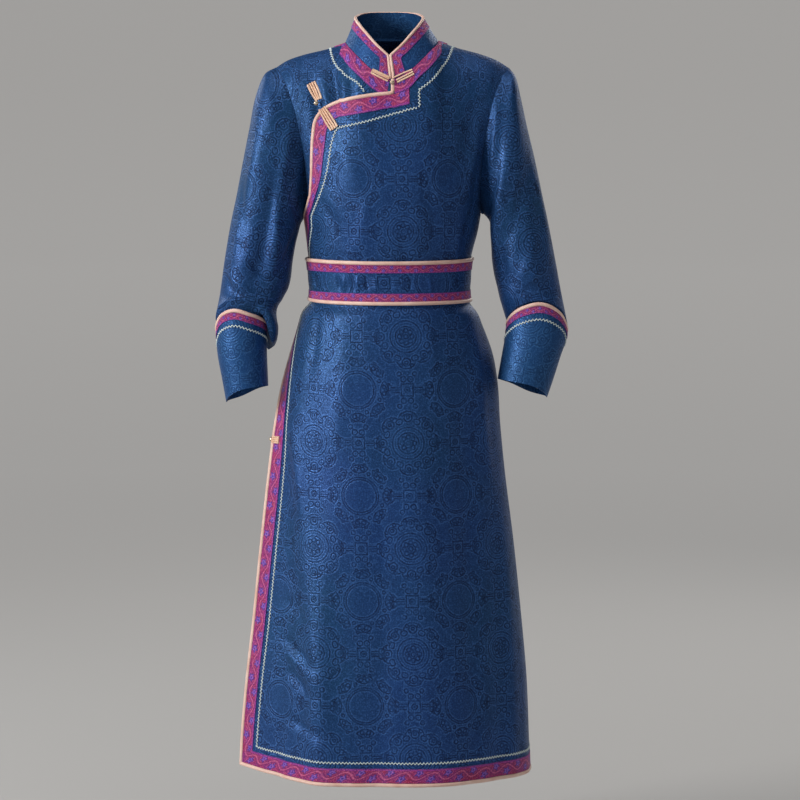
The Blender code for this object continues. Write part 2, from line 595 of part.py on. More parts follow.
def sheet(name, finish, points, out, thickness, under, closed=False, crest=0.0, gap=CLEAR):
    """A wall laid over other walls: its inner face starts at points and is moved out, along out, as
    far as it must. The crest is added to its thickness."""
    needed = settled(points, out, under, gap)
    if closed:
        ends = np.maximum(needed[:, 0], needed[:, -1])
        needed[:, 0] = ends
        needed[:, -1] = ends
    inner = points + out * needed[..., None]
    thick = np.broadcast_to(thickness + np.asarray(crest, float), needed.shape)
    return wall(name, finish, inner + out * thick[..., None], inner, closed)


def laid(name, finish, surface, u, r, thickness, under, closed=False, crest=0.0, base=LIFT, gap=CLEAR):
    """A sheet that follows a surface."""
    u, r = np.broadcast_arrays(np.asarray(u, float), np.asarray(r, float))
    points = raised(surface, u, r, base)
    return sheet(name, finish, points, normals(surface, u, r), thickness, under, closed, crest, gap)


def panel(name, finish, surface, u, r, thickness, lift=0.0, closed=False):
    """A wall that follows a surface: its outer face at lift, its inner face a thickness below."""
    return wall(name, finish, raised(surface, u, r, lift), raised(surface, u, r, lift - thickness), closed)


def crown(share):
    """How high a piping stands across its width, where it is round over its cord."""
    return PIPING_CROWN * np.sin(np.pi * np.asarray(share))


# ---------------------------------------------------------------------------------- rows and columns
SKIRT_ROWS = np.array([HEM, -1.198, -1.12, -1.03, -0.94, -0.85, -0.77, -0.70, -0.64, -0.585, -0.54,
                       -0.50, -0.468, -0.445, -0.430, -0.408, -0.375, -0.345, -0.318, -0.296]) - ARMPIT
YOKE_ROWS = 9
NECK_COLUMNS = np.linspace(0.0, NECK_CORNER, 6)
SHOULDER_COLUMNS = np.linspace(NECK_CORNER, 1.0 - SEAM, 6)[1:]
SLEEVE_COLUMNS = 20
SLEEVE_ROWS = np.concatenate([np.array([0.0, 0.045, 0.11, 0.19, 0.28, 0.37, 0.46, 0.55, 0.64, 0.73, 0.81, 0.88]),
                              TUCK_START + TUCK_STEP * np.arange(len(TUCK))])
BELT_COLUMNS = 36
LAP_TOP = 0.42          # share of the outer front's width that hangs below the lapped edge
NECK_START = 0.47       # share where its neckline starts
NECK_END = 0.72         # share where its shoulder seam starts
OUTER_COLUMNS = np.concatenate([
    np.linspace(0.0, LAP_TOP, 9),
    np.linspace(NECK_START, NECK_END, 6),
    np.linspace(NECK_END, 1.0, 6)[1:],
])


TWO = np.array([0.0, 1.0])
THREE = np.array([0.0, 0.5, 1.0])
BACK_COLUMNS = np.concatenate([-SHOULDER_COLUMNS[::-1], -NECK_COLUMNS[::-1], NECK_COLUMNS[1:], SHOULDER_COLUMNS])


def grid(columns, rows):
    """Every column's value with every row's, as two arrays."""
    return np.meshgrid(np.asarray(columns, float), np.asarray(rows, float))


def hem_rise(u):
    """The hem lifts towards the flap's free corner."""
    return HEM_RISE * fade(-np.asarray(u), 0.55, 1.0)


def skirt_rows(u, rows, rise):
    """Heights of a set of rows over the columns u, the lowest ones lifted by the hem's rise."""
    r = np.repeat(rows[:, None], len(u), axis=1)
    near_hem = 1 - fade(r, rows[0], rows[0] + 0.20)
    return r + near_hem * rise[None, :]


def lap_line(kind):
    """One line of the lap, in u and r on the outer front, from the underarm up to the neck."""
    x = np.array([getattr(row, kind + "_x") for row in reversed(LAP)])
    z = np.array([getattr(row, kind + "_z") for row in reversed(LAP)])
    guess_u = np.clip((x - CENTRE) / 0.16, -0.95, 0.95)
    guess_r = np.clip((z - ARMPIT) / 0.25, 0.05, 0.95)
    u, r = locate(outer_front, x, z, guess_u, guess_r)
    return np.stack([u, r], axis=-1)


def lap_end(kind):
    """The end of one line of the lap past the neck's middle, from its tip."""
    x = np.array([getattr(row, kind + "_x") for row in LAP_END])
    z = np.array([getattr(row, kind + "_z") for row in LAP_END])
    return np.stack(locate(outer_front, x, z, x / 0.16, (z - ARMPIT) / 0.25), axis=-1)


def outer_front_grid():
    """u and r of the outer front: the skirt rows, then a patch under the lap, neck and shoulder."""
    edge = lap_line("edge")
    corner = 6                                    # row of the lap where its side turns into its top
    foot = np.array([-1.0, LAP_FOOT])
    left = np.vstack([foot, edge[:corner]])
    top = edge[corner - 1:]
    columns = OUTER_COLUMNS
    u_low = 2 * columns - 1
    low = skirt_rows(u_low, SKIRT_ROWS, hem_rise(u_low))
    low_u = np.repeat(u_low[None, :], len(SKIRT_ROWS), axis=0)

    s = np.linspace(0.0, 1.0, YOKE_ROWS + 1)[1:, None]
    under_lap = columns <= LAP_TOP + 1e-9
    top_line = np.zeros((len(columns), 2))
    top_line[under_lap] = polyline(top, columns[under_lap] / LAP_TOP)
    neck = np.concatenate([[edge[-1, 0]], NECK_COLUMNS[1:], SHOULDER_COLUMNS])
    neck_u = np.concatenate([np.zeros(np.count_nonzero(under_lap)), neck])
    top_line[~under_lap] = np.stack([neck_u, np.full(len(columns), 1.0 - SHOULDER_SEAM)], axis=-1)[~under_lap]
    side = polyline(left, s[:, 0])
    right_r = SKIRT_ROWS[-1] + s[:, 0] * (1.0 - SHOULDER_SEAM - SKIRT_ROWS[-1])
    right = np.stack([np.full(len(s), 1.0 - SEAM), right_r], axis=-1)
    bottom = np.stack([np.clip(u_low, -1.0, 1.0 - SEAM), low[-1]], axis=-1)

    t = columns[None, :, None]
    s = s[:, :, None]
    patch = (1 - s) * bottom[None] + s * top_line[None]
    patch = patch + (1 - t) * (side[:, None] - (1 - s) * bottom[None, :1] - s * top_line[None, :1])
    patch = patch + t * (right[:, None] - (1 - s) * bottom[None, -1:] - s * top_line[None, -1:])
    low_u = np.clip(low_u, -1.0, 1.0 - SEAM)
    return np.vstack([low_u, patch[..., 0]]), np.vstack([low, patch[..., 1]])


def make_panels():
    u, r = outer_front_grid()
    panel("outer_front", "brocade", outer_front, u, r, CLOTH)

    rows = np.concatenate([SKIRT_ROWS, np.linspace(0.0, 1.0 - SHOULDER_SEAM, YOKE_ROWS)])
    columns = np.concatenate([-SHOULDER_COLUMNS[::-1], -NECK_COLUMNS[::-1], NECK_COLUMNS[1:4]])
    u = np.repeat(columns[None, :], len(rows), axis=0)
    r = skirt_rows(columns, rows, UNDER_HEM + np.zeros(len(columns)))
    tucked = -UNDER_TUCK * fade(u, -1.0, -0.8) * fade(-r, 0.16, 0.30)
    panel("under_front", "brocade", front, u, r, CLOTH, tucked)

    u, r = grid(BACK_COLUMNS, rows)
    panel("back", "brocade", back, u, r, CLOTH)


# ---------------------------------------------------------------------------------- sleeves and cuffs
def cuff_edge(hand, angle, column):
    """Height of a cuff's top or bottom edge, at degrees round the wrist."""
    table = RIGHT_CUFF_EDGE if hand < 0 else LEFT_CUFF_EDGE
    return smooth(table, column, np.mod(angle, 360.0))


def cuff_ring(hand, angle, z):
    """A point of a cuff at an angle and a height. 0 degrees is the outer side, 90 the front."""
    table = RIGHT_CUFF if hand < 0 else LEFT_CUFF
    outer = smooth(table, "outer_x", z)
    inner = smooth(table, "inner_x", z)
    turn = np.radians(angle)
    x = (outer + inner) / 2 + (outer - inner) / 2 * np.cos(turn)
    y = smooth(table, "middle_y", z) - smooth(table, "depth", z) * np.sin(turn)
    return stack(x, y, z)


def cuff(hand):
    """The surface of one cuff, from its bottom edge (0) to its top edge (1)."""
    def surface(way, share):
        angle = -hand * np.asarray(way) * 360.0
        top = cuff_edge(hand, angle, "top")
        bottom = cuff_edge(hand, angle, "bottom")
        return cuff_ring(hand, angle, bottom + share * (top - bottom))
    return surface


def armhole(hand, angle):
    """The seam line of an armhole: 0 degrees is the shoulder point and 180 the underarm."""
    v = (1 + np.cos(np.radians(angle))) / 2
    side = np.full(np.shape(angle), float(hand))
    faces_front = (np.mod(angle, 360.0) < 180.0)[..., None]
    line = np.where(faces_front, bodice(-1, side, v), bodice(1, side, v))
    return line + np.array([hand * SLEEVE_GAP, 0.0, 0.0])


def sleeve_rings(hand, angle):
    """All rings of a sleeve at the given angles: the armhole, the arm, then the tuck in the cuff."""
    table = RIGHT_SLEEVE if hand < 0 else LEFT_SLEEVE
    turn = np.radians(angle)
    places = [0.0]
    rings = [armhole(hand, angle)]
    for row in table:
        x = (row.outer_x + row.inner_x) / 2 + (row.outer_x - row.inner_x) / 2 * np.cos(turn)
        z = (row.outer_z + row.inner_z) / 2 + (row.outer_z - row.inner_z) / 2 * np.cos(turn)
        places.append(row.place)
        rings.append(stack(x, row.middle_y - row.depth * np.sin(turn), z))
    top = cuff_edge(hand, angle, "top")
    away = np.abs(np.mod(angle - DROOP_ANGLE + 180.0, 360.0) - 180.0)
    droop = 1 - fade(away, DROOP_CORE, DROOP_SPREAD) if hand < 0 else np.zeros(np.shape(angle))
    outward = 1 - (1 - droop) ** 3
    downward = droop ** 2
    step = 0.01
    for number, row in enumerate(TUCK):
        up = row.up + downward * (row.droop_up - row.up)
        level = top + np.minimum(up, 0.0)
        face = cuff_ring(hand, angle, level)
        out = cuff_ring(hand, angle + step, level) - cuff_ring(hand, angle - step, level)
        out = np.cross(out, [0.0, 0.0, 1.0]) * -hand
        out = out / np.linalg.norm(out, axis=-1, keepdims=True)
        away_from_face = row.out + outward * (row.droop_out - row.out)
        places.append(TUCK_START + number * TUCK_STEP)
        rings.append(face + out * away_from_face[..., None] + stack(0.0, 0.0, np.maximum(up, 0.0)))
    return np.array(places), np.stack(rings)


def crease_height(hand, angle, place):
    total = np.zeros(np.shape(angle))
    for crease in RIGHT_CREASES if hand < 0 else LEFT_CREASES:
        along = place - crease.place
        across = np.mod(angle - crease.angle - crease.slant * along + 180.0, 360.0) - 180.0
        total = total + crease.size * np.exp(-((along / crease.long) ** 2) - (across / crease.wide) ** 2)
    return total * fade(place, 0.06, 0.20) * (1 - fade(place, 0.84, 0.92))


def sleeve(hand):
    """The surface of one sleeve. r runs up, from -1.03 at its lower end to 0 at the armhole."""
    def surface(way, r):
        way, r = np.broadcast_arrays(np.asarray(way, float), np.asarray(r, float))
        angle = -hand * way * 360.0
        places, rings = sleeve_rings(hand, angle)
        slopes = np.gradient(rings, places, axis=0)
        place = np.clip(-r, 0.0, places[-1])
        first = np.clip(np.searchsorted(places, place, side="right") - 1, 0, len(places) - 2)
        span = (places[first + 1] - places[first])[..., None]
        t = ((place - places[first]) / span[..., 0])[..., None]

        def pick(values, index):
            return np.take_along_axis(values, index[None, ..., None], axis=0)[0]

        point = (
            (1 + 2 * t) * (1 - t) ** 2 * pick(rings, first)
            + t * (1 - t) ** 2 * span * pick(slopes, first)
            + t * t * (3 - 2 * t) * pick(rings, first + 1)
            - t * t * (1 - t) * span * pick(slopes, first + 1)
        )
        turn = np.radians(angle)
        out = stack(hand * np.cos(turn), -np.sin(turn), 0.0)
        return point + out * crease_height(hand, angle, place)[..., None]
    return surface


def make_sleeves():
    ways = np.linspace(0.0, 1.0, SLEEVE_COLUMNS + 1)
    for hand, side in ((-1, "right"), (1, "left")):
        way, r = grid(ways, -SLEEVE_ROWS[::-1])
        panel(side + "_sleeve", "brocade", sleeve(hand), way, r, CLOTH, closed=True)
        way, share = grid(ways, np.linspace(0.0, 1.0, 4))
        surface = cuff(hand)
        panel(side + "_cuff", "brocade", surface, way, share, CLOTH, closed=True)

        angle = -hand * ways * 360.0
        height = cuff_edge(hand, angle, "top") - cuff_edge(hand, angle, "bottom")
        for name, near, far, thickness, shares in (
            ("piping", 0.0, PIPING_WIDTH, PIPING, THREE),
            ("band", PIPING_WIDTH + TRIM_GAP, PIPING_WIDTH + TRIM_GAP + CUFF_BAND, BAND, TWO),
            ("braid", CUFF_BRAID_IN - BRAID_WIDTH / 2, CUFF_BRAID_IN + BRAID_WIDTH / 2, BRAID, TWO),
        ):
            inset = far + (near - far) * shares[:, None]
            crest = crown(shares)[:, None] if name == "piping" else 0.0
            laid(side + "_cuff_" + name, name, surface, ways[None, :], 1 - inset / height, thickness,
                 [side + "_cuff"], closed=True, crest=crest)


# ---------------------------------------------------------------------------------- collar
def collar_way(hand, way):
    """The same place on either half: the right one counts from the back to the front."""
    return 1 - way if hand < 0 else way


def collar(hand):
    """The surface of one half of the collar, from its seam (0) to its top edge (1)."""
    def surface(way, share):
        way, share = np.broadcast_arrays(np.asarray(way, float), np.asarray(share, float))
        way = np.clip(collar_way(hand, way), 0.0, 1.0)
        u = hand * NECK_CORNER * (1 - np.abs(1 - 2 * way))
        base = np.where((way < 0.5)[..., None], bodice(-1, u, 1.0), bodice(1, u, 1.0))
        base = base + np.array([0.0, 0.0, COLLAR_GAP])
        top = stack(hand * smooth(COLLAR, "top_x", way) + COLLAR_LEAN, smooth(COLLAR, "top_y", way),
                    smooth(COLLAR, "top_z", way))
        share = share[..., None]
        return base * (1 - share) + top * share
    return surface


def make_collar():
    ways = np.concatenate([NECK_COLUMNS, 2 * NECK_CORNER - NECK_COLUMNS[-2::-1]]) / (2 * NECK_CORNER)
    ways[0] = COLLAR_END
    ways[-1] = 1 - COLLAR_END
    for hand, side in ((-1, "right"), (1, "left")):
        surface = collar(hand)
        way, share = grid(np.sort(collar_way(hand, ways)), np.linspace(0.0, 1.0, 4))
        panel(side + "_collar", "brocade", surface, way, share, CLOTH)
        for name, near, far, thickness, shares in (
            ("piping", 0.0, PIPING_WIDTH, PIPING, THREE),
            ("band", PIPING_WIDTH + CORNER_GAP, PIPING_WIDTH + CORNER_GAP + COLLAR_BAND, BAND, TWO),
        ):
            inset = near + (far - near) * shares[:, None]
            along = ways[ways > far / COLLAR_LENGTH + 0.02][::-1]
            down = np.linspace(1.0, 0.0, 4)[None, :]
            top = 1 - inset / COLLAR_HEIGHT
            way = np.hstack([np.repeat(along[None, :], len(shares), axis=0),
                             np.repeat(COLLAR_END + inset / COLLAR_LENGTH, 4, axis=1)])
            share = np.hstack([np.repeat(top, len(along), axis=1), down * top + (1 - down) * 0.02])
            crest = crown(shares)[:, None] if name == "piping" else 0.0
            laid(side + "_collar_" + name, name, surface, collar_way(hand, way), share, thickness,
                 [side + "_collar"], crest=crest)


# ---------------------------------------------------------------------------------- belt
def belt(way, z):
    """The belt's way round: 0 to 2 over the front from the wearer's right, 2 to 4 over the back."""
    way, z = np.broadcast_arrays(np.mod(np.asarray(way, float), 4.0), np.asarray(z, float))
    over_front = way <= 2.0
    u = np.where(over_front, way - 1.0, 3.0 - way)
    point = np.where(over_front[..., None], body(-1, u, z - ARMPIT), body(1, u, z - ARMPIT))
    return point


def make_belt():
    ways = np.linspace(0.0, 4.0, BELT_COLUMNS + 1)
    under = ["back", "outer_front", "flap_piping", "flap_band", "flap_braid"]
    way, z = grid(ways, np.linspace(BELT_BOTTOM, BELT_TOP, 3))
    laid("belt", "brocade", belt, way, z, BELT_CLOTH, under, closed=True, base=BELT_GAP, gap=LIFT)
    band_in = BELT_PIPING + TRIM_GAP
    for name, finish, bottom, top, thickness, shares in (
        ("belt_piping_upper", "piping", BELT_TOP - BELT_PIPING, BELT_TOP, PIPING, THREE),
        ("belt_piping_lower", "piping", BELT_BOTTOM, BELT_BOTTOM + BELT_PIPING, PIPING, THREE),
        ("belt_band_upper", "band", BELT_TOP - band_in - BELT_BAND, BELT_TOP - band_in, BAND, TWO),
        ("belt_band_lower", "band", BELT_BOTTOM + band_in, BELT_BOTTOM + band_in + BELT_BAND, BAND, TWO),
    ):
        way, z = grid(ways, bottom + shares * (top - bottom))
        crest = crown(shares)[:, None] if finish == "piping" else 0.0
        laid(name, finish, belt, way, z, thickness, ["belt"], closed=True, crest=crest)


# ---------------------------------------------------------------------------------- trims
def from_edge(r, distance):
    """u at a distance in from the free edge of the flap, along each row r."""
    samples = np.linspace(-1.0, -0.3, 90)
    u, rows = grid(samples, r)
    points = outer_front(u, rows)
    length = np.cumsum(np.linalg.norm(np.diff(points, axis=1), axis=2), axis=1)
    length = np.hstack([np.zeros((len(rows), 1)), length])
    return np.array([np.interp(distance, row, samples) for row in length])


def below_neck(surface, u, distance):
    """r at a distance down from the neckline, along each column u."""
    samples = np.linspace(1.0, 0.5, 90)
    columns, rows = grid(u, samples)
    points = surface(columns, rows)
    length = np.cumsum(np.linalg.norm(np.diff(points, axis=0), axis=2), axis=0)
    length = np.vstack([np.zeros((1, len(u))), length])
    return np.array([np.interp(d, length[:, k], samples) for k, d in enumerate(distance)])


def flap_line(lap, inset):
    """A line of the flap's trims in u and r: across the chest, down the side and round the hem, at
    an inset from the edge. The lap is the chest part, from the neck to the underarm."""
    rows = SKIRT_ROWS[1:][::-1]
    side_u = from_edge(rows, inset)
    corner_u = from_edge(SKIRT_ROWS[:1], inset)[0]
    hem_u = 2 * OUTER_COLUMNS - 1
    hem_u = np.clip(hem_u[hem_u > -0.93], -1.0, 1.0 - SEAM)
    hem_u = np.maximum(hem_u, corner_u)
    hem_r = SKIRT_ROWS[0] + hem_rise(hem_u) + inset
    side_r = rows + (1 - fade(rows, SKIRT_ROWS[0], SKIRT_ROWS[0] + 0.20)) * HEM_RISE
    side_r = np.maximum(side_r, SKIRT_ROWS[0] + HEM_RISE + inset)
    side = np.stack([side_u, side_r], axis=-1)
    corner = np.array([[corner_u, SKIRT_ROWS[0] + HEM_RISE + inset]])
    hem = np.stack([hem_u, hem_r], axis=-1)
    return np.vstack([lap, side, corner, hem])


def ribbon(name, finish, surface, path, width, thickness, under):
    """A narrow ribbon that follows a path on a surface."""
    u, r = path[:, 0], path[:, 1]
    normal = normals(surface, u, r)
    middle = surface(u, r) + normal * LIFT
    tangent = np.gradient(middle, axis=0)
    tangent = tangent / np.linalg.norm(tangent, axis=-1, keepdims=True)
    across = np.cross(normal, tangent) * (width / 2)
    sheet(name, finish, np.stack([middle - across, middle + across]), np.stack([normal, normal]), thickness, under)


def between(near, far, shares):
    """Lines between two lines of u and r, one for each share of the way from the first."""
    shares = np.asarray(shares)[:, None, None]
    lines = near[None] * (1 - shares) + far[None] * shares
    return lines[..., 0], lines[..., 1]


def make_flap_trims():
    edge = lap_line("edge")[::-1]
    band = lap_line("band")[::-1]
    toward = band - edge
    reach = np.linalg.norm(outer_front(band[:, 0], band[:, 1]) - outer_front(edge[:, 0], edge[:, 1]), axis=-1)
    near = PIPING_WIDTH + TRIM_GAP
    far = near + BAND_WIDTH
    piping_line = flap_line(edge + toward * (PIPING_WIDTH / reach)[:, None], PIPING_WIDTH)
    near_line = flap_line(np.vstack([lap_end("near"), edge + toward * (near / reach)[:, None]]), near)
    far_line = flap_line(np.vstack([lap_end("far"), band]), far)
    u, r = between(flap_line(edge, 0.0), piping_line, THREE)
    laid("flap_piping", "piping", outer_front, u, r, PIPING, ["outer_front"], crest=crown(THREE)[:, None])
    u, r = between(near_line, far_line, TWO)
    laid("flap_band", "band", outer_front, u, r, BAND, ["outer_front"])
    braid_line = flap_line(np.vstack([lap_end("braid"), lap_line("braid")[::-1]]), BRAID_IN)
    ribbon("flap_braid", "braid", outer_front, braid_line, BRAID_WIDTH, BRAID, ["outer_front"])


def make_hem_trims():
    """The hem's trims carried on round the back."""
    hem = SKIRT_ROWS[0]
    band_in = PIPING_WIDTH + TRIM_GAP
    for name, near, far, thickness, shares in (
        ("piping", 0.0, PIPING_WIDTH, PIPING, THREE),
        ("band", band_in, band_in + BAND_WIDTH, BAND, TWO),
        ("braid", BRAID_IN - BRAID_WIDTH / 2, BRAID_IN + BRAID_WIDTH / 2, BRAID, TWO),
    ):
        u, r = grid(BACK_COLUMNS, hem + near + shares * (far - near))
        crest = crown(shares)[:, None] if name == "piping" else 0.0
        laid("back_hem_" + name, name, back, u, r, thickness, ["back"], crest=crest)


def make_neck_trims():
    front_columns = np.concatenate([[0.02], NECK_COLUMNS[1:]])
    round_back = np.concatenate([-NECK_COLUMNS[::-1], NECK_COLUMNS[1:]])
    for side, surface, columns, braid_columns, under in (
        ("right", front, -front_columns[::-1], -NECK_COLUMNS[:1:-1], "under_front"),
        ("left", outer_front, front_columns, NECK_COLUMNS[3:], "outer_front"),
        ("back", back, round_back, round_back, "back"),
    ):
        width = smooth(NECK_TRIM, "band", np.abs(columns))
        lines = np.array([below_neck(surface, columns, NECK_BAND_IN + width * share) for share in (1.0, 0.0)])
        laid("neck_band_" + side, "band", surface, columns[None, :], lines, BAND, [under])

        distance = smooth(NECK_TRIM, "braid", np.abs(braid_columns))
        path = np.stack([braid_columns, below_neck(surface, braid_columns, distance)], axis=-1)
        if surface is outer_front:
            corner = np.array(locate(outer_front, np.array([BRAID_CORNER[0]]), np.array([BRAID_CORNER[1]]),
                                     np.array([0.25]), np.array([0.8]))).T
            path = np.vstack([path[:1] + (corner - path[:1]) * np.array([[1.0], [0.66], [0.33]]), path])
        ribbon("neck_braid_" + side, "braid", surface, path, BRAID_WIDTH, BRAID, [under])


# ---------------------------------------------------------------------------------- frogs
FLAP_WALLS = ["outer_front", "flap_piping", "flap_band", "flap_braid"]


def tab_grid(tab):
    """x and z of a tab's points as seen from the front, across its cords and along them."""
    across = np.linspace(-0.5, 0.5, 3 * CORDS + 1)
    along = np.linspace(0.0, 1.0, 4)
    start = np.array([tab.x, tab.z])
    end = np.array([tab.end_x, tab.end_z])
    line = end - start
    side = np.array([line[1], -line[0]]) / np.linalg.norm(line)
    share, place = np.meshgrid(across, along)
    width = tab.width + (tab.end_width - tab.width) * place
    spot = start + place[..., None] * line + (share * width)[..., None] * side
    return spot[..., 0], spot[..., 1]


def cord_ridges(columns):
    """The height of cords laid side by side, for three columns of points a cord."""
    return np.abs(np.sin(np.pi * np.arange(columns) / 3)) * CORD_RISE


def knot(name, spot, out, under):
    """A round knot button that rests on the walls under a spot."""
    way = Vector(out).normalized()
    aside = way.orthogonal() * KNOT
    high = [0.0]
    for turn in range(8):
        start = Vector(spot) + way * REACH + Quaternion(way, turn * np.pi / 4) @ aside * 0.6
        for wall_name in under:
            hit = TREES[wall_name].ray_cast(start, -way, 2 * REACH)
            if hit[0] is not None:
                high.append(REACH - hit[3])
    mesh = bmesh.new()
    bmesh.ops.create_uvsphere(mesh, u_segments=10, v_segments=7, radius=KNOT)
    bmesh.ops.translate(mesh, verts=mesh.verts, vec=Vector(spot) + way * (max(high) + KNOT + LIFT))
    data = bpy.data.meshes.new(name)
    mesh.to_mesh(data)
    mesh.free()
    data.shade_smooth()
    obj = bpy.data.objects.new(name, data)
    bpy.context.collection.objects.link(obj)
    data.materials.append(finish_material(name + "_finish", FINISHES["knot"]))


def make_frogs():
    for tab, surface, under in zip(CHEST_TABS, (front, outer_front), (["under_front"], FLAP_WALLS)):
        x, z = tab_grid(tab)
        u, r = locate(surface, x, z, np.clip(x / 0.15, -0.9, 0.9), np.clip((z - ARMPIT) / 0.25, 0.1, 0.95))
        laid(tab.name, "frog", surface, u, r, TAB_BASE, under, crest=cord_ridges(u.shape[1]))
    u, r = locate(front, *(np.array([value]) for value in (*CHEST_KNOT, -0.75, 0.8)))
    knot("chest_frog_knot", front(u, r)[0], normals(front, u, r)[0], ["under_front"] + FLAP_WALLS)

    over_neck = ["neck_band_right", "neck_band_left", "right_collar", "left_collar", "right_collar_piping",
                 "left_collar_piping", "right_collar_band", "left_collar_band", "under_front", "outer_front"]
    seam = bodice(-1, 0.0, 1.0)
    for hand, side in ((-1, "right"), (1, "left")):
        reach = np.linspace(NECK_BAR, NECK_KNOT_GAP, 4)[:, None, None]
        share = np.linspace(-0.5, 0.5, 7)[None, :, None]
        along = np.array([hand * 0.90, 0.12, 0.42])
        across = np.array([hand * 0.38, 0.28, -0.88])
        points = seam + reach * along + share * NECK_BAR_WIDTH * across
        out = points * 0 + np.array([hand * 0.20, -0.92, -0.34])
        if hand < 0:
            points = points[:, ::-1]
        sheet("neck_frog_" + side, "frog", points, out / np.linalg.norm(out[0, 0]), TAB_BASE, over_neck,
              crest=cord_ridges(7))
    knot("neck_frog_knot", seam, (0.0, -0.93, -0.36), over_neck)

    place = np.linspace(-0.5, 0.5, 3 * CORDS + 1) * SIDE_TAB_WIDTH + SIDE_FROG - ARMPIT
    u = np.array([from_edge(place, value) for value in np.linspace(0.0025, SIDE_TAB, 4)])
    laid("side_frog_front", "frog", outer_front, u, place[None, :], TAB_BASE, FLAP_WALLS,
         crest=cord_ridges(len(place)))
    columns = np.linspace(0.84, 0.98, 4)
    laid("side_frog_back", "frog", back, columns[:, None], place[None, :], TAB_BASE, ["back"],
         crest=cord_ridges(len(place)))
    knot("side_frog_knot", outer_front(-1.0, SIDE_FROG - ARMPIT), (-0.35, 0.94, 0.0), [])


def main():
    clear_scene()
    make_panels()
    make_sleeves()
    make_collar()
    make_flap_trims()
    make_hem_trims()
    make_neck_trims()
    make_belt()
    make_frogs()


main()
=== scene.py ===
# %% [markdown]
# # A Mongolian deel
# A deel is one long brocade robe. Its outer front laps over the under front to the wearer's right,
# and every edge carries a woven band, satin piping and a zigzag braid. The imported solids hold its
# true size, so each piece below is dressed on their form, as a finer and softer cloth.

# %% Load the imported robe
import json
from collections import namedtuple

import bmesh
import bpy
import numpy as np
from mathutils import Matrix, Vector
from mathutils.bvhtree import BVHTree

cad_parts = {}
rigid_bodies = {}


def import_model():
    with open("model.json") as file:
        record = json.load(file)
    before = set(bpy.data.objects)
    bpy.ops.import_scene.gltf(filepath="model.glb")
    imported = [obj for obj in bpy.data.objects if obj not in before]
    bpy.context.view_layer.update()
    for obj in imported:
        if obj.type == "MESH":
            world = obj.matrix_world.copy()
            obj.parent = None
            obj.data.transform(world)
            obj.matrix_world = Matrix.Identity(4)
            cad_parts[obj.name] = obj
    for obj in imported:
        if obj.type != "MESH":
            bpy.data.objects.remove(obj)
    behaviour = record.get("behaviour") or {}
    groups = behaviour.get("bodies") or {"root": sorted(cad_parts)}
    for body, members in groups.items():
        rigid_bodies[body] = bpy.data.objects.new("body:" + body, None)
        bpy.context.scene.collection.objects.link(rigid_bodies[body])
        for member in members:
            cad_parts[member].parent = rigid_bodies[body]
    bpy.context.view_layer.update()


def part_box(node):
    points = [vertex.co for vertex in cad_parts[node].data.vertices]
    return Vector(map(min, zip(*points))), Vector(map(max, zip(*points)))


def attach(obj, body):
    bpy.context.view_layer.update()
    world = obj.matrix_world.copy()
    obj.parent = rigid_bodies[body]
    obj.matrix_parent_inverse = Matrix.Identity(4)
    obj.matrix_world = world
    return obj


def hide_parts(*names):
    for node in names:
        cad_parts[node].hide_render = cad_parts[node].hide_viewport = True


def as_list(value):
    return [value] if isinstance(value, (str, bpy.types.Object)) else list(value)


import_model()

# %% [markdown]
# ## Camera and studio
# The robe is seen from a long way off, a little from above, so a long lens keeps its hem and its
# shoulders in true proportion. It stands over one round sheet of pale paper that turns up all
# round, so there is no line at the horizon from any side. A plane would do for one camera only,
# and a dome would shut out the air's light. The paper has a painted glow, brighter towards its rim,
# that stands in for lamp light falling on it far off, and one large soft lamp on the wearer's right
# models the satin. The other lamps only lighten its shadows.

# %% Camera
def put(name, data):
    """A new object of the scene."""
    thing = bpy.data.objects.new(name, data)
    bpy.context.collection.objects.link(thing)
    return thing


lens = bpy.data.cameras.new("studio_camera")
lens.sensor_width = 36.0
lens.lens = 168.2
camera = put("studio_camera", lens)
camera.location = (0.0173, -6.4, 0.04)
camera.rotation_euler = (np.radians(84.3), 0.0, 0.0)
bpy.context.scene.camera = camera
print("camera", round(-camera.location.y, 2), "m away, its lens", round(lens.lens), "mm")

# %% Tables
def chart(kind, *rows):
    """A table whose rows have named columns."""
    return [kind(*row) for row in rows]


# %% Round paper
FLOOR = -1.40
PAPER_RADIUS = 8.0
Bend = namedtuple("Bend", "radius height")
PAPER = chart(Bend, (0.0, 0.0), (2.5, 0.0), (5.0, 0.0), (6.3, 0.04), (7.1, 0.22), (7.6, 0.60), (7.9, 1.20),
              (8.0, 2.00), (8.0, 3.40))


def round_paper():
    """Floor and low wall in one round sheet: half a section turned once about the middle."""
    mesh = bmesh.new()
    line = [mesh.verts.new((bend.radius, 0.0, FLOOR + bend.height)) for bend in PAPER]
    edges = [mesh.edges.new(pair) for pair in zip(line, line[1:])]
    bmesh.ops.spin(mesh, geom=line + edges, cent=(0.0, 0.0, 0.0), axis=(0, 0, 1), angle=2 * np.pi, steps=72,
                   use_merge=True)
    bmesh.ops.remove_doubles(mesh, verts=mesh.verts, dist=1e-4)
    data = bpy.data.meshes.new("round_paper")
    mesh.to_mesh(data)
    mesh.free()
    data.shade_smooth()
    return put("round_paper", data)


paper_sheet = round_paper()
print("round paper:", len(paper_sheet.data.polygons), "faces")

# %% Paper finish
TONES = ((0.0, (0.300, 0.291, 0.283)), (1.0, (0.320, 0.311, 0.302)))
# painted glow: the paper gives off light of its own, stronger near its rim than in the middle,
# in place of lamp light falling on it; each place counts from its rim to its middle
GLOW = ((0.0, 0.235), (0.06, 0.265), (0.30, 0.262), (0.62, 0.226), (0.85, 0.185), (1.0, 0.170))
WARM_GLOW = [(place, (level, level * 0.985, level * 0.965)) for place, level in GLOW]


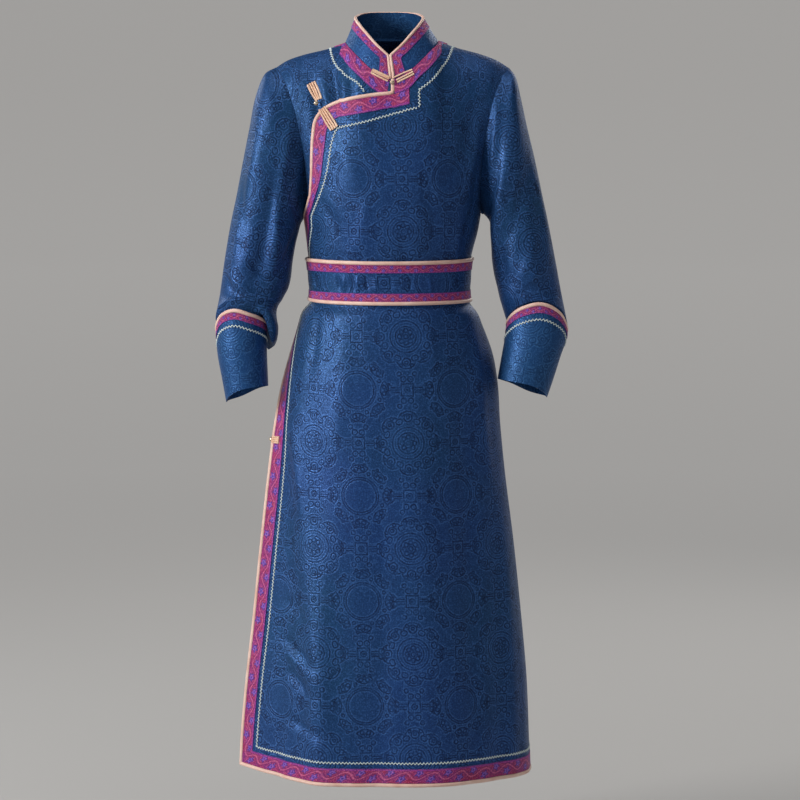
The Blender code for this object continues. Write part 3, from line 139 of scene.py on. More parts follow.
def ramp(nodes, stops):
    """Colours that pass from one place to the next."""
    node = nodes.new("ShaderNodeValToRGB")
    elements = node.color_ramp.elements
    while len(elements) < len(stops):
        elements.new(0.5)
    for element, (place, color) in zip(elements, stops):
        element.position = place
        element.color = (*color, 1.0)
    return node


def paper_finish():
    material = bpy.data.materials.new("grey_paper")
    material.use_nodes = True
    nodes, link = material.node_tree.nodes, material.node_tree.links.new
    shader = nodes["Principled BSDF"]
    shader.inputs["Roughness"].default_value = 0.9
    shader.inputs["Specular IOR Level"].default_value = 0.1
    shader.inputs["Emission Strength"].default_value = 1.0
    grain = nodes.new("ShaderNodeTexNoise")
    grain.inputs["Scale"].default_value = 3.0
    tones = ramp(nodes, TONES)
    link(grain.outputs["Fac"], tones.inputs["Fac"])
    link(tones.outputs["Color"], shader.inputs["Base Color"])
    # painted glow: the emission is read from the distance to the middle, stronger towards the rim
    place = nodes.new("ShaderNodeTexCoord")
    scale = nodes.new("ShaderNodeMapping")
    scale.inputs["Scale"].default_value = (1 / PAPER_RADIUS, 1 / PAPER_RADIUS, 0.0)
    distance = nodes.new("ShaderNodeTexGradient")
    distance.gradient_type = "SPHERICAL"
    glow = ramp(nodes, WARM_GLOW)
    link(place.outputs["Object"], scale.inputs["Vector"])
    link(scale.outputs["Vector"], distance.inputs["Vector"])
    link(distance.outputs["Fac"], glow.inputs["Fac"])
    link(glow.outputs["Color"], shader.inputs["Emission Color"])
    return material


paper_sheet.data.materials.append(paper_finish())
print("paper glows from", GLOW[-1][1], "in the middle to", GLOW[1][1], "near the rim")

# %% Lamps
Lamp = namedtuple("Lamp", "name place aim size power color")
LAMPS = chart(
    Lamp,
    ("key_lamp", (-3.55, -1.95, 0.9), (0.0, 0.0, -0.5), 1.5, 152.0, (1.0, 0.985, 0.96)),
    ("fill_lamp", (2.0, -4.6, 0.2), (0.0, 0.0, -0.6), 2.4, 9.0, (0.90, 0.95, 1.0)),
    ("rim_lamp", (-1.8, 1.6, 0.6), (-0.1, 0.0, -0.3), 0.8, 9.0, (0.85, 0.95, 1.0)),
    ("back_lamp", (1.4, 2.6, 0.9), (0.0, 0.0, -0.4), 1.4, 18.0, (1.0, 0.98, 0.95)),
    ("paper_lamp", (0.0, -0.2, 3.2), (0.0, 2.8, -0.9), 3.0, 60.0, (1.0, 0.985, 0.96)),
)


def hang_lamp(lamp):
    light = bpy.data.lights.new(lamp.name, "AREA")
    light.size = lamp.size
    light.energy = lamp.power
    light.color = lamp.color
    holder = put(lamp.name, light)
    holder.location = lamp.place
    way = Vector(lamp.aim) - Vector(lamp.place)
    holder.rotation_euler = way.to_track_quat("-Z", "Y").to_euler()


for lamp in LAMPS:
    hang_lamp(lamp)
world = bpy.data.worlds.new("studio_air")
world.use_nodes = True
air = world.node_tree.nodes["Background"].inputs
air["Color"].default_value = (0.80, 0.84, 0.90, 1.0)
air["Strength"].default_value = 0.06
bpy.context.scene.world = world
bpy.context.scene.view_settings.view_transform = "Standard"
print(len(LAMPS), "lamps of", sum(lamp.power for lamp in LAMPS), "W in all")

# %% [markdown]
# ## Reading the pattern tables
# A cutter keeps a robe as a short table of widths at a few heights and draws smooth curves between
# them. The same is done here: each table has a row for a height or a place, and these helpers read
# a column anywhere as a smooth curve. Curves keep the cloth free of flat facets.

# %% Curves through tables
def hermite(t, step, start, start_slope, end, end_slope):
    """A smooth step from start to end over t = 0 to 1, with a slope given at both ends."""
    return ((1 + 2 * t) * (1 - t) ** 2 * start + t * (1 - t) ** 2 * step * start_slope
            + t * t * (3 - 2 * t) * end - t * t * (1 - t) * step * end_slope)


def smooth(table, column, where, level_start=False):
    """One column of a table, read at any place as a smooth curve through its rows."""
    at = np.array([row[0] for row in table], float)
    value = np.array([getattr(row, column) for row in table], float)
    slope = np.gradient(value, at)
    if level_start:
        slope[0] = 0.0
    where = np.clip(np.asarray(where, float), at[0], at[-1])
    first = np.clip(np.searchsorted(at, where, side="right") - 1, 0, len(at) - 2)
    step = at[first + 1] - at[first]
    return hermite((where - at[first]) / step, step, value[first], slope[first], value[first + 1], slope[first + 1])


def fade(value, start, end):
    """0 before start, 1 after end and a smooth step between them."""
    t = np.clip((np.asarray(value, float) - start) / (end - start), 0.0, 1.0)
    return t * t * (3 - 2 * t)


def bezier(a, b, c, d, t):
    """A point of the curve from a to d that is pulled towards b and c."""
    return (1 - t) ** 3 * a + 3 * t * (1 - t) ** 2 * b + 3 * t * t * (1 - t) * c + t ** 3 * d


def stack(x, y, z):
    """Points from their three coordinates."""
    return np.stack(np.broadcast_arrays(x, y, z), axis=-1)


def paired(u, r):
    """u and r as arrays of one shape."""
    return np.broadcast_arrays(np.asarray(u, float), np.asarray(r, float))


def unit(ways):
    return ways / np.maximum(np.linalg.norm(ways, axis=-1, keepdims=True), 1e-12)


def run(points):
    """Lengths along a line of points, from 0 at its first."""
    return np.concatenate([[0.0], np.cumsum(np.linalg.norm(np.diff(points, axis=0), axis=1))])


def polyline(points, where):
    """Points spread evenly along a line through a few corners, read at shares of its length."""
    points = np.asarray(points, float)
    length = run(points)
    return np.stack([np.interp(where, length / length[-1], column) for column in points.T], axis=-1)


# %% [markdown]
# ## The body of the robe
# Two numbers name every place on the body. u goes across a side, from -1 at the wearer's right
# seam over 0 at the middle to +1, and r goes up: below 0 it is metres under the armpits, and from 0
# to 1 it climbs to the neckline and the shoulder seams. Below the armpits a section is half an
# ellipse, and above them each column of cloth is a Bezier curve up to the shoulder.

# %% Sizes of the body
CLOTH = 0.0014          # brocade with its backing
FLAP_LIFT = 0.0037      # the outer front rides this far above the under front
SEAM = 0.0001           # share of a panel left open at a seam
SHOULDER_SEAM = 0.0032
ARMPIT = -0.280
HEM = -1.2395
HEM_RISE = 0.012        # how much the free corner of the flap lifts
UNDER_HEM = 0.012       # how much shorter the under front is
UNDER_TUCK = 0.005      # and how far it hangs behind the outer front below the belt
CENTRE = 0.004          # the neck and shoulders sit this far to the wearer's left
ROUND = 0.5523          # Bezier handle that makes a quarter of an ellipse
NECK_ROWS = 5
NECK_CORNER = 0.42

Section = namedtuple("Section", "height right left front back")
SECTIONS = chart(
    Section,
    (-1.2600, 0.2320, 0.2440, 0.1730, 0.1680),
    (-1.1900, 0.2270, 0.2413, 0.1690, 0.1640),
    (-1.0790, 0.2200, 0.2366, 0.1630, 0.1570),
    (-0.9760, 0.2100, 0.2274, 0.1560, 0.1520),
    (-0.8470, 0.1985, 0.2139, 0.1490, 0.1470),
    (-0.7100, 0.1870, 0.1968, 0.1410, 0.1420),
    (-0.6333, 0.1800, 0.1895, 0.1340, 0.1370),
    (-0.5700, 0.1725, 0.1855, 0.1270, 0.1300),
    (-0.5200, 0.1640, 0.1770, 0.1200, 0.1210),
    (-0.4700, 0.1525, 0.1590, 0.1130, 0.1100),
    (-0.4450, 0.1440, 0.1480, 0.1090, 0.1035),
    (-0.4330, 0.1330, 0.1380, 0.1025, 0.0950),
    (-0.4180, 0.1295, 0.1345, 0.1000, 0.0925),
    (-0.3900, 0.1310, 0.1355, 0.1000, 0.0925),
    (-0.3600, 0.1335, 0.1375, 0.1015, 0.0935),
    (-0.3400, 0.1365, 0.1420, 0.1065, 0.0970),
    (-0.3060, 0.1390, 0.1510, 0.1120, 0.1030),
    (-0.2800, 0.1425, 0.1555, 0.1150, 0.1060),
)
Top = namedtuple("Top", "u x y z rise_x rise_y rise_z drop_x drop_y drop_z")
FRONT_TOP = chart(
    Top,
    (0.00, 0.0000, -0.0800, -0.0490, 0.000, -0.006, 0.080, 0.000, -0.022, -0.051),
    (0.12, 0.0310, -0.0735, -0.0340, 0.000, -0.007, 0.080, 0.000, -0.030, -0.050),
    (0.24, 0.0550, -0.0570, -0.0130, 0.000, -0.010, 0.082, 0.002, -0.044, -0.045),
    (0.34, 0.0720, -0.0330, 0.0040, 0.000, -0.013, 0.084, 0.003, -0.060, -0.034),
    (0.42, 0.0800, -0.0020, 0.0127, 0.000, -0.016, 0.085, 0.003, -0.078, -0.010),
    (0.56, 0.1070, 0.0020, 0.0034, 0.000, -0.022, 0.085, 0.000, -0.076, -0.006),
    (0.72, 0.1500, 0.0030, -0.0070, -0.002, -0.030, 0.083, -0.006, -0.074, -0.006),
    (0.86, 0.1780, 0.0040, -0.0165, -0.007, -0.044, 0.073, -0.018, -0.080, -0.014),
    (1.00, 0.1985, 0.0040, -0.0290, -0.010, -0.060, 0.060, -0.033, -0.086, -0.026),
)
BACK_TOP = chart(
    Top,
    (0.00, 0.0000, 0.0640, 0.0180, 0.000, 0.006, 0.085, 0.000, 0.034, -0.045),
    (0.12, 0.0280, 0.0610, 0.0185, 0.000, 0.006, 0.085, 0.000, 0.036, -0.044),
    (0.24, 0.0500, 0.0500, 0.0190, 0.000, 0.008, 0.085, 0.002, 0.044, -0.038),
    (0.34, 0.0690, 0.0300, 0.0175, 0.000, 0.010, 0.085, 0.003, 0.056, -0.030),
    (0.42, 0.0800, -0.0020, 0.0127, 0.000, 0.013, 0.085, 0.003, 0.076, -0.008),
    (0.56, 0.1070, 0.0020, 0.0034, 0.000, 0.018, 0.085, 0.000, 0.076, -0.006),
    (0.72, 0.1500, 0.0030, -0.0070, -0.002, 0.028, 0.083, -0.006, 0.074, -0.006),
    (0.86, 0.1780, 0.0040, -0.0165, -0.006, 0.040, 0.070, -0.014, 0.078, -0.014),
    (1.00, 0.1985, 0.0040, -0.0290, -0.004, 0.050, 0.055, -0.027, 0.080, -0.026),
)

# %% Broad folds of the skirt
Fold = namedtuple("Fold", "u spread high low size")
FRONT_FOLDS = chart(
    Fold,
    (-0.36, 0.10, -0.62, -1.15, 0.0060),
    (-0.05, 0.08, -0.80, -1.24, -0.0050),
    (0.25, 0.11, -0.70, -1.24, 0.0045),
    (0.56, 0.09, -0.62, -1.24, -0.0045),
    (0.80, 0.09, -0.55, -1.24, 0.0040),
    (-0.70, 0.07, -0.85, -1.24, -0.0040),
)
BACK_FOLDS = chart(
    Fold,
    (-0.62, 0.10, -0.55, -1.24, 0.0050),
    (-0.34, 0.09, -0.65, -1.24, -0.0060),
    (-0.05, 0.11, -0.50, -1.24, 0.0060),
    (0.25, 0.09, -0.60, -1.24, -0.0055),
    (0.55, 0.11, -0.55, -1.24, 0.0055),
    (0.82, 0.07, -0.70, -1.24, -0.0035),
)


def fold_height(folds, u, z):
    total = np.zeros(np.broadcast(u, z).shape)
    for fold in folds:
        grow = fade(-np.asarray(z), -fold.high, -fold.low)
        total = total + fold.size * grow * np.exp(-(((u - fold.u) / fold.spread) ** 2))
    return total


# %% Sections and bodice
def section(side, u, z):
    """The robe at a height below the armpits: half an ellipse on the front (-1) or the back (+1)."""
    t = np.abs(u)
    width = np.where(u < 0, smooth(SECTIONS, "right", z), smooth(SECTIONS, "left", z))
    depth = smooth(SECTIONS, "front" if side < 0 else "back", z)
    x = np.sign(u) * bezier(0.0, ROUND * width, width, width, t)
    y = side * bezier(depth, depth, ROUND * depth, 0.0, t)
    grow = 1 + fold_height(FRONT_FOLDS if side < 0 else BACK_FOLDS, u, z) / np.hypot(x, y)
    return stack(x * grow, y * grow, z)


def bodice(side, u, v):
    """The robe above the armpits, each column a Bezier curve from the armpit row to its top."""
    table = FRONT_TOP if side < 0 else BACK_TOP
    hand = np.sign(u)
    t = np.abs(u)

    def read(column):
        neck = smooth(table[:NECK_ROWS], column, t, level_start=not column.endswith("x"))
        return np.where(t < table[NECK_ROWS - 1].u, neck, smooth(table[NECK_ROWS - 1:], column, t))

    def vector(kind):
        return stack(hand * read(kind + "x"), read(kind + "y"), read(kind + "z"))

    foot = section(side, u, np.full(np.shape(u), ARMPIT))
    head = vector("") + np.array([CENTRE, 0.0, 0.0])
    v = np.asarray(v)[..., None]
    return bezier(foot, foot + vector("rise_"), head + vector("drop_"), head, v)


def body(side, u, r):
    """A point of the robe's own surface, on the front (-1) or the back (+1)."""
    u, r = paired(u, r)
    low = section(side, u, ARMPIT + np.minimum(r, 0.0))
    high = bodice(side, u, np.clip(r, 0.0, 1.0))
    return np.where((r <= 0.0)[..., None], low, high)


def normals(surface, u, r):
    """Unit normals of a surface, pointing to the left of u when r points up."""
    step = 1e-4
    along = surface(u + step, r) - surface(u - step, r)
    upward = surface(u, r + step) - surface(u, r - step)
    return unit(np.cross(along, upward))


def front(u, r):
    return body(-1, u, r)


def back(u, r):
    """The back with its own u reversed, so that its normals point out too."""
    return body(1, -u, r)


def raised(surface, u, r, lift):
    u, r = paired(u, r)
    return surface(u, r) + normals(surface, u, r) * np.broadcast_to(lift, u.shape)[..., None]


print("armpit row is", round(float(np.ptp(section(-1, np.linspace(-1, 1, 9), ARMPIT)[..., 0])), 3), "m wide")

# %% [markdown]
# ## The lapped outer front
# The outer front is cut wider than the body. Its free edge passes the wearer's right side seam,
# wraps a little on to the back above the belt, and flares away from the body down the skirt. It is
# the front's surface carried on past u = -1, and lifted by the cloth that lies under it.

# %% Surface of the outer front
Flap = namedtuple("Flap", "height wrap flare x y turn")
FLAP = chart(
    Flap,
    (-1.2600, 0.00, 1.00, 0.2605, -0.0380, 42.0),
    (-1.1833, 0.00, 1.00, 0.2570, -0.0370, 42.0),
    (-1.0790, 0.00, 1.00, 0.2479, -0.0360, 42.0),
    (-0.9760, 0.00, 1.00, 0.2361, -0.0340, 41.0),
    (-0.8470, 0.00, 1.00, 0.2228, -0.0320, 41.0),
    (-0.7100, 0.00, 1.00, 0.2075, -0.0280, 44.0),
    (-0.6500, 0.00, 1.00, 0.1997, -0.0240, 52.0),
    (-0.5700, 0.04, 0.85, 0.1863, -0.0100, 68.0),
    (-0.5200, 0.08, 0.55, 0.1740, 0.0000, 82.0),
    (-0.4700, 0.14, 0.20, 0.1600, 0.0100, 96.0),
    (-0.4300, 0.18, 0.00, 0.1500, 0.0200, 100.0),
    (-0.3900, 0.18, 0.00, 0.1500, 0.0200, 100.0),
    (-0.3500, 0.14, 0.00, 0.1500, 0.0200, 100.0),
    (-0.3200, 0.06, 0.00, 0.1500, 0.0200, 100.0),
    (-0.2960, 0.00, 0.00, 0.1500, 0.0200, 100.0),
    (-0.2800, 0.00, 0.00, 0.1500, 0.0200, 100.0),
)
FLAP_HANDLE = 0.56
FLAP_TAIL = 0.40


def wrapped(u, r):
    """The front's surface carried on past the wearer's right seam on to the back."""
    past = u < -1.0
    over_back = body(1, np.where(past, -2.0 - u, -1.0), r)
    return np.where(past[..., None], over_back, body(-1, np.maximum(u, -1.0), r))


def outer_front(u, r):
    u, r = paired(u, r)
    z = ARMPIT + np.minimum(r, 0.0)
    right = np.clip(-u, 0.0, 1.05)
    lift = FLAP_LIFT * (1 - fade(u, 0.25, 0.95))
    stretched = np.where(u < 0, u * (1 + smooth(FLAP, "wrap", z)), u)
    close = raised(wrapped, stretched, r, lift)

    depth = smooth(SECTIONS, "front", z) + FLAP_LIFT
    edge_x = -smooth(FLAP, "x", z)
    edge_y = smooth(FLAP, "y", z)
    turn = np.radians(smooth(FLAP, "turn", z))
    handle = FLAP_TAIL * edge_x
    x = bezier(0.0, FLAP_HANDLE * edge_x, edge_x - handle * np.cos(turn), edge_x, right)
    y = bezier(-depth, -depth, edge_y + handle * np.sin(turn), edge_y, right)
    grow = 1 + fold_height(FRONT_FOLDS, u, z) / np.hypot(x, y)
    flared = stack(x * grow, y * grow, z)

    share = np.where((u < 0) & (r < 0), smooth(FLAP, "flare", z), 0.0)[..., None]
    return close * (1 - share) + flared * share


# %% [markdown]
# ## Cloth kept as a fine grid
# A real panel is creased as one sheet, and everything sewn on it follows the same creases. So each
# panel is worked out once as a fine grid with its creases in it, and later pieces read that grid
# anywhere. The grid also keeps the flat cut: how far across and how far up each place lay before
# sewing. The weave is printed on those flat sizes, so it runs true to the grain.

# %% The Cloth class
Crease = namedtuple("Crease", "across high end_across low wide size bow")


class Cloth:
    """A creased surface as a fine grid over u and r, read anywhere between its points."""

    def __init__(self, shape, u, r, creases=(), zero=0.0, level=0.0, body_cut=False, tube=False, calm=None):
        self.u, self.r = u, r
        points = shape(*np.meshgrid(u, r))
        self.flat = self.unrolled(points, zero) if tube else self.cut(points, zero, level, body_cut)
        out = self.outward(points)
        height = self.crease_height(creases)
        if calm is not None:
            height = height * fade(r, *calm)[:, None]
        self.points = points + out * height[..., None]
        self.out = self.outward(self.points)

    def outward(self, points):
        return unit(np.cross(np.gradient(points, axis=1), np.gradient(points, axis=0)))

    def cut(self, points, zero, level, body_cut):
        """Flat sizes: lengths along each row from u = zero, and up each column from r = level."""
        across = np.cumsum(np.linalg.norm(np.diff(points, axis=1, prepend=points[:, :1]), axis=2), axis=1)
        up = np.cumsum(np.linalg.norm(np.diff(points, axis=0, prepend=points[:1]), axis=2), axis=0)
        start = np.argmin(np.abs(self.u - zero))
        base = np.argmin(np.abs(self.r - level))
        across = across - across[:, start:start + 1]
        up = up - up[base:base + 1]
        if body_cut:
            above = self.r > level
            across[above] = across[base] + points[above][..., 0] - points[base, :, 0]
            up[~above] = (self.r[~above] - level)[:, None]
            up = up + ARMPIT
        return np.stack([across, up], axis=-1)

    def unrolled(self, points, zero):
        """Flat sizes of a tube unrolled round its own axis, with 0 at its top."""
        axis = unit(points[-1].mean(axis=0) - points[0].mean(axis=0))
        way_round = unit(np.cross(self.outward(points), axis))
        round_step = (np.diff(points, axis=1, prepend=points[:, :1]) * way_round).sum(axis=2)
        down_step = (np.diff(points, axis=0, prepend=points[:1]) * way_round).sum(axis=2)
        across = np.cumsum(round_step, axis=1)
        start = np.argmin(np.abs(self.u - zero))
        across = across - across[:, start:start + 1] + np.cumsum(down_step[:, start:start + 1], axis=0)
        across = across * np.sign(across[0, -1] - across[0, 0])
        up = points @ axis
        return np.stack([across, up - up.max()], axis=-1)

    def crease_height(self, creases):
        """Soft ridges (+) and troughs (-), each along a bowed line on the flat cut."""
        total = np.zeros(self.flat.shape[:2])
        for one in creases:
            start = np.array([one.across, one.high])
            line = np.array([one.end_across, one.low]) - start
            length = np.linalg.norm(line)
            along = (self.flat - start) @ line / length ** 2
            aside = (self.flat - start) @ np.array([-line[1], line[0]]) / length
            aside = aside - one.bow * 4 * along * (1 - along)
            taper = fade(along, -0.12, 0.35) * (1 - fade(along, 0.6, 1.12))
            total = total + one.size * taper * np.exp(-((aside / one.wide) ** 2))
        return total

    def pick(self, values, u, r):
        """Values of the grid between its points."""
        u, r = paired(u, r)
        column = np.clip((u - self.u[0]) / (self.u[1] - self.u[0]), 0, len(self.u) - 1.001)
        row = np.interp(r, self.r, np.arange(len(self.r)))
        row = np.clip(row, 0, len(self.r) - 1.001)
        i, j = row.astype(int), column.astype(int)
        a, b = (row - i)[..., None], (column - j)[..., None]
        return ((values[i, j] * (1 - b) + values[i, j + 1] * b) * (1 - a)
                + (values[i + 1, j] * (1 - b) + values[i + 1, j + 1] * b) * a)

    def at(self, u, r, lift=0.0):
        return self.pick(self.points, u, r) + self.outs(u, r) * lift

    def outs(self, u, r):
        return unit(self.pick(self.out, u, r))

    def flat_at(self, u, r):
        return self.pick(self.flat, u, r)

    def locate(self, x, z, u, r):
        """Where the cloth has the given x and z as seen from the front, from a first guess."""
        step = 2e-3
        for _ in range(30):
            here = self.at(u, r)
            by_u = (self.at(u + step, r) - here) / step
            by_r = (self.at(u, r + step) - here) / step
            miss_x, miss_z = x - here[..., 0], z - here[..., 2]
            area = by_u[..., 0] * by_r[..., 2] - by_r[..., 0] * by_u[..., 2]
            area = np.where(np.abs(area) < 1e-6, 1e-6, area)
            u = u + np.clip((miss_x * by_r[..., 2] - miss_z * by_r[..., 0]) / area, -0.05, 0.05)
            r = r + np.clip((miss_z * by_u[..., 0] - miss_x * by_u[..., 2]) / area, -0.05, 0.05)
            u, r = np.clip(u, -1.0, 1.0 - step), np.clip(r, 0.003, 0.997)
        return u, r


# %% [markdown]
# ## Creases
# Stiff brocade creases in a few long soft lines: from the hip down the skirt, slanting off the
# belt, and from the shoulder point towards the chest. Each row below is one crease on the flat cut,
# from its upper to its lower end, with its half width, its height and how far it bows.

# %% Creases of the body
OUTER_CREASES = chart(
    Crease,
    (-0.190, -0.520, -0.100, -1.330, 0.026, 0.0070, 0.004),
    (-0.085, -0.440, -0.105, -0.700, 0.020, 0.0026, 0.010),
    (-0.212, -0.995, -0.115, -1.052, 0.0085, -0.0042, 0.003),
    (-0.205, -1.020, -0.125, -1.072, 0.0075, 0.0032, 0.004),
    (-0.200, -1.050, -0.130, -1.098, 0.0080, -0.0034, 0.004),
    (-0.205, -0.935, -0.140, -0.965, 0.0080, -0.0024, 0.004),
    (-0.205, -1.130, -0.095, -1.168, 0.0095, -0.0036, 0.004),
    (-0.200, -0.620, -0.160, -0.800, 0.0120, 0.0030, 0.008),
    (0.030, -0.480, 0.060, -1.330, 0.030, 0.0042, 0.010),
    (-0.020, -0.600, -0.025, -1.330, 0.022, -0.0036, 0.006),
    (0.120, -0.500, 0.150, -1.330, 0.022, -0.0048, 0.010),
    (0.060, -0.440, 0.075, -0.620, 0.012, 0.0018, 0.006),
    (0.160, -0.440, 0.200, -0.760, 0.014, 0.0034, -0.008),
    (0.215, -0.760, 0.240, -1.330, 0.018, 0.0040, 0.006),
    (-0.135, -0.436, -0.150, -0.560, 0.010, -0.0024, 0.004),
    (-0.030, -0.436, -0.040, -0.520, 0.009, 0.0018, 0.004),
    (0.165, -0.095, 0.085, -0.230, 0.012, -0.0040, 0.012),
    (0.178, -0.130, 0.110, -0.275, 0.010, 0.0030, 0.012),
    (0.180, -0.190, 0.130, -0.330, 0.010, -0.0030, 0.010),
    (0.060, -0.200, 0.075, -0.350, 0.014, -0.0024, 0.006),
    (-0.100, -0.150, -0.050, -0.240, 0.014, 0.0024, 0.006),
    (-0.040, -0.240, -0.060, -0.352, 0.012, 0.0024, 0.004),
    (-0.130, -0.250, -0.080, -0.345, 0.009, -0.0026, 0.008),
    (0.020, -0.300, 0.030, -0.352, 0.010, -0.0022, 0.002),
    (0.130, -0.290, 0.120, -0.352, 0.009, 0.0024, 0.002),
)
UNDER_CREASES = chart(
    Crease,
    (-0.072, -0.015, -0.066, -0.120, 0.0065, -0.0040, 0.002),
    (-0.090, -0.010, -0.080, -0.130, 0.0070, 0.0042, 0.004),
    (-0.110, -0.010, -0.096, -0.150, 0.0080, -0.0046, 0.006),
    (-0.158, -0.030, -0.130, -0.200, 0.0120, -0.0056, 0.010),
    (-0.135, -0.020, -0.114, -0.180, 0.0090, 0.0040, 0.008),
    (-0.170, -0.110, -0.140, -0.260, 0.010, 0.0024, 0.008),
    (-0.165, -0.180, -0.150, -0.340, 0.012, -0.0026, 0.004),
)
BACK_CREASES = chart(
    Crease,
    (-0.090, -0.440, -0.120, -0.720, 0.014, -0.0030, 0.010),
    (-0.030, -0.440, -0.035, -0.640, 0.012, 0.0026, 0.006),
    (0.040, -0.440, 0.060, -0.760, 0.015, -0.0028, 0.010),
    (0.110, -0.450, 0.140, -0.690, 0.013, 0.0028, 0.008),
    (0.010, -0.820, 0.000, -1.240, 0.018, 0.0030, 0.010),
    (-0.150, -0.860, -0.170, -1.240, 0.016, 0.0030, 0.008),
    (0.170, -0.900, 0.190, -1.240, 0.016, -0.0028, 0.008),
    (-0.175, -0.120, -0.100, -0.290, 0.014, -0.0034, 0.014),
    (0.175, -0.120, 0.100, -0.290, 0.014, -0.0030, 0.012),
    (-0.150, -0.190, -0.080, -0.340, 0.012, 0.0026, 0.010),
    (0.150, -0.200, 0.070, -0.345, 0.012, 0.0026, 0.012),
    (-0.020, -0.260, -0.010, -0.350, 0.012, 0.0024, 0.004),
    (0.040, -0.280, 0.050, -0.350, 0.010, -0.0022, 0.004),
    (-0.070, -0.280, -0.080, -0.350, 0.010, -0.0022, 0.004),
)

# %% Grids of the three panels
ACROSS = np.linspace(-1.0, 1.0, 321)
UP = np.concatenate([np.linspace(HEM - ARMPIT - 0.004, 0.0, 390), np.linspace(0.0, 1.0, 121)[1:]])


def tucked_front(u, r):
    return raised(front, u, r, -UNDER_TUCK * fade(u, -1.0, -0.8) * fade(-r, 0.16, 0.30))


outer = Cloth(outer_front, ACROSS, UP, OUTER_CREASES, body_cut=True)
under = Cloth(tucked_front, ACROSS, UP, UNDER_CREASES, body_cut=True)
rear = Cloth(back, ACROSS, UP, BACK_CREASES, body_cut=True)
print("grids of", outer.points.shape[:2], "points")

# %% [markdown]
# ## Sewing a panel
# A panel of cloth is a closed wall: an outer face on the creased grid and an inner face a
# thickness below. A flat grid is pushed into place and extruded inwards, which also closes the
# edges. The flat cut goes into a UV map in metres, before the ends of a tube are merged, so the
# pattern's scale is the same on every piece. A piece is named after the solid that it stands for.

# %% Shells of cloth
def dress(solid, word, mesh, material, slot):
    """The finished mesh as a piece of the robe, riding on its body in place of its solid."""
    name = solid.removeprefix("back_") + "_" + word
    data = bpy.data.meshes.new(name)
    mesh.to_mesh(data)
    mesh.free()
    data.set_sharp_from_angle(angle=np.radians(60))
    piece = put(name, data)
    data.materials.append(material)
    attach(piece, "root")
    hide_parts(solid)
    return piece


def grid_mesh(points, flat):
    """A bmesh grid with its vertices at points, and their flat sizes in a UV map."""
    rows, columns = points.shape[:2]
    mesh = bmesh.new()
    bmesh.ops.create_grid(mesh, x_segments=columns - 1, y_segments=rows - 1, size=1.0)
    place = mesh.verts.layers.int.new("place")
    cut = mesh.loops.layers.uv.new("cut")
    for vertex in mesh.verts:
        column = round((vertex.co.x + 1) / 2 * (columns - 1))
        row = round((vertex.co.y + 1) / 2 * (rows - 1))
        vertex[place] = row * columns + column
        vertex.co = points[row, column]
        for corner in vertex.link_loops:
            corner[cut].uv = flat[row, column]
    return mesh, place


def smoothed(mesh):
    """The mesh with its faces pointing outwards and shaded as one soft surface."""
    bmesh.ops.recalc_face_normals(mesh, faces=mesh.faces)
    for face in mesh.faces:
        face.smooth = True
    return mesh


def shell(outside, inside, flat, closed=False):
    """A closed wall between two grids. A closed one is a tube whose last column is its first."""
    mesh, place = grid_mesh(outside, flat)
    columns = outside.shape[1]
    if closed:
        bmesh.ops.remove_doubles(mesh, verts=mesh.verts, dist=1e-5)
    pushed = bmesh.ops.extrude_face_region(mesh, geom=mesh.faces[:])
    for vertex in pushed["geom"]:
        if isinstance(vertex, bmesh.types.BMVert):
            vertex.co = inside[vertex[place] // columns, vertex[place] % columns]
    return smoothed(mesh)


def wall(cloth, u, r, thickness=CLOTH):
    """The outer and the inner grid of a wall on a cloth, and its flat sizes."""
    return cloth.at(u, r), cloth.at(u, r, -thickness), cloth.flat_at(u, r)


def panel(solid, cloth, u, r, material, slot="brocade", thickness=CLOTH, closed=False):
    """A panel whose outer face follows a cloth."""
    return dress(solid, "brocade", shell(*wall(cloth, u, r, thickness), closed), material, slot)


# %% [markdown]
# ## Drawing patterns with numbers
# A woven pattern is a drawing repeated over the cloth, so it can be worked out at every point from
# the flat sizes on the UV map: how far is this point from the nearest line of the drawing? Math
# nodes do that sum. The small class below lets them be written like ordinary arithmetic, and every
# curve of a pattern becomes one distance in millimetres. The cloth is dark where it is small.

# %% Values inside a material
class Value:
    """A number inside a material that is added, multiplied and compared like any other."""

    def __init__(self, tree, socket):
        self.tree, self.socket = tree, socket

    def does(self, operation, *others):
        node = self.tree.nodes.new("ShaderNodeMath")
        node.operation = operation
        for socket, value in zip(node.inputs, (self, *others)):
            if isinstance(value, Value):
                self.tree.links.new(value.socket, socket)
            else:
                socket.default_value = value
        return Value(self.tree, node.outputs[0])

    def __add__(self, other):
        return self.does("ADD", other)

    def __sub__(self, other):
        return self.does("SUBTRACT", other)

    def __mul__(self, other):
        return self.does("MULTIPLY", other)

    def __truediv__(self, other):
        return self.does("DIVIDE", other)

    def __abs__(self):
        return self.does("ABSOLUTE")

    def wrap(self, pitch):
        """Distance from the nearest multiple of the pitch, with its sign."""
        return self.does("WRAP", pitch / 2, -pitch / 2)

    def lower(self, *others):
        value = self
        for other in others:
            value = value.does("MINIMUM", other)
        return value

    def higher(self, *others):
        value = self
        for other in others:
            value = value.does("MAXIMUM", other)
        return value

    def held(self, low=0.0, high=1.0):
        """The value, but never under low or over high."""
        return self.higher(low).lower(high)

    def mark(self, width, soft=0.5):
        """1 within half the width of a line, fading to 0 over a soft edge."""
        node = self.tree.nodes.new("ShaderNodeMapRange")
        node.interpolation_type = "SMOOTHSTEP"
        self.tree.links.new(abs(self).socket, node.inputs["Value"])
        node.inputs["From Min"].default_value = width / 2 + soft
        node.inputs["From Max"].default_value = max(width / 2 - soft, 0.0)
        return Value(self.tree, node.outputs[0])


# %% Circles, colours and bump
def span(x, y):
    """How far a place lies from the middle."""
    return (x * x + y * y).does("SQRT")


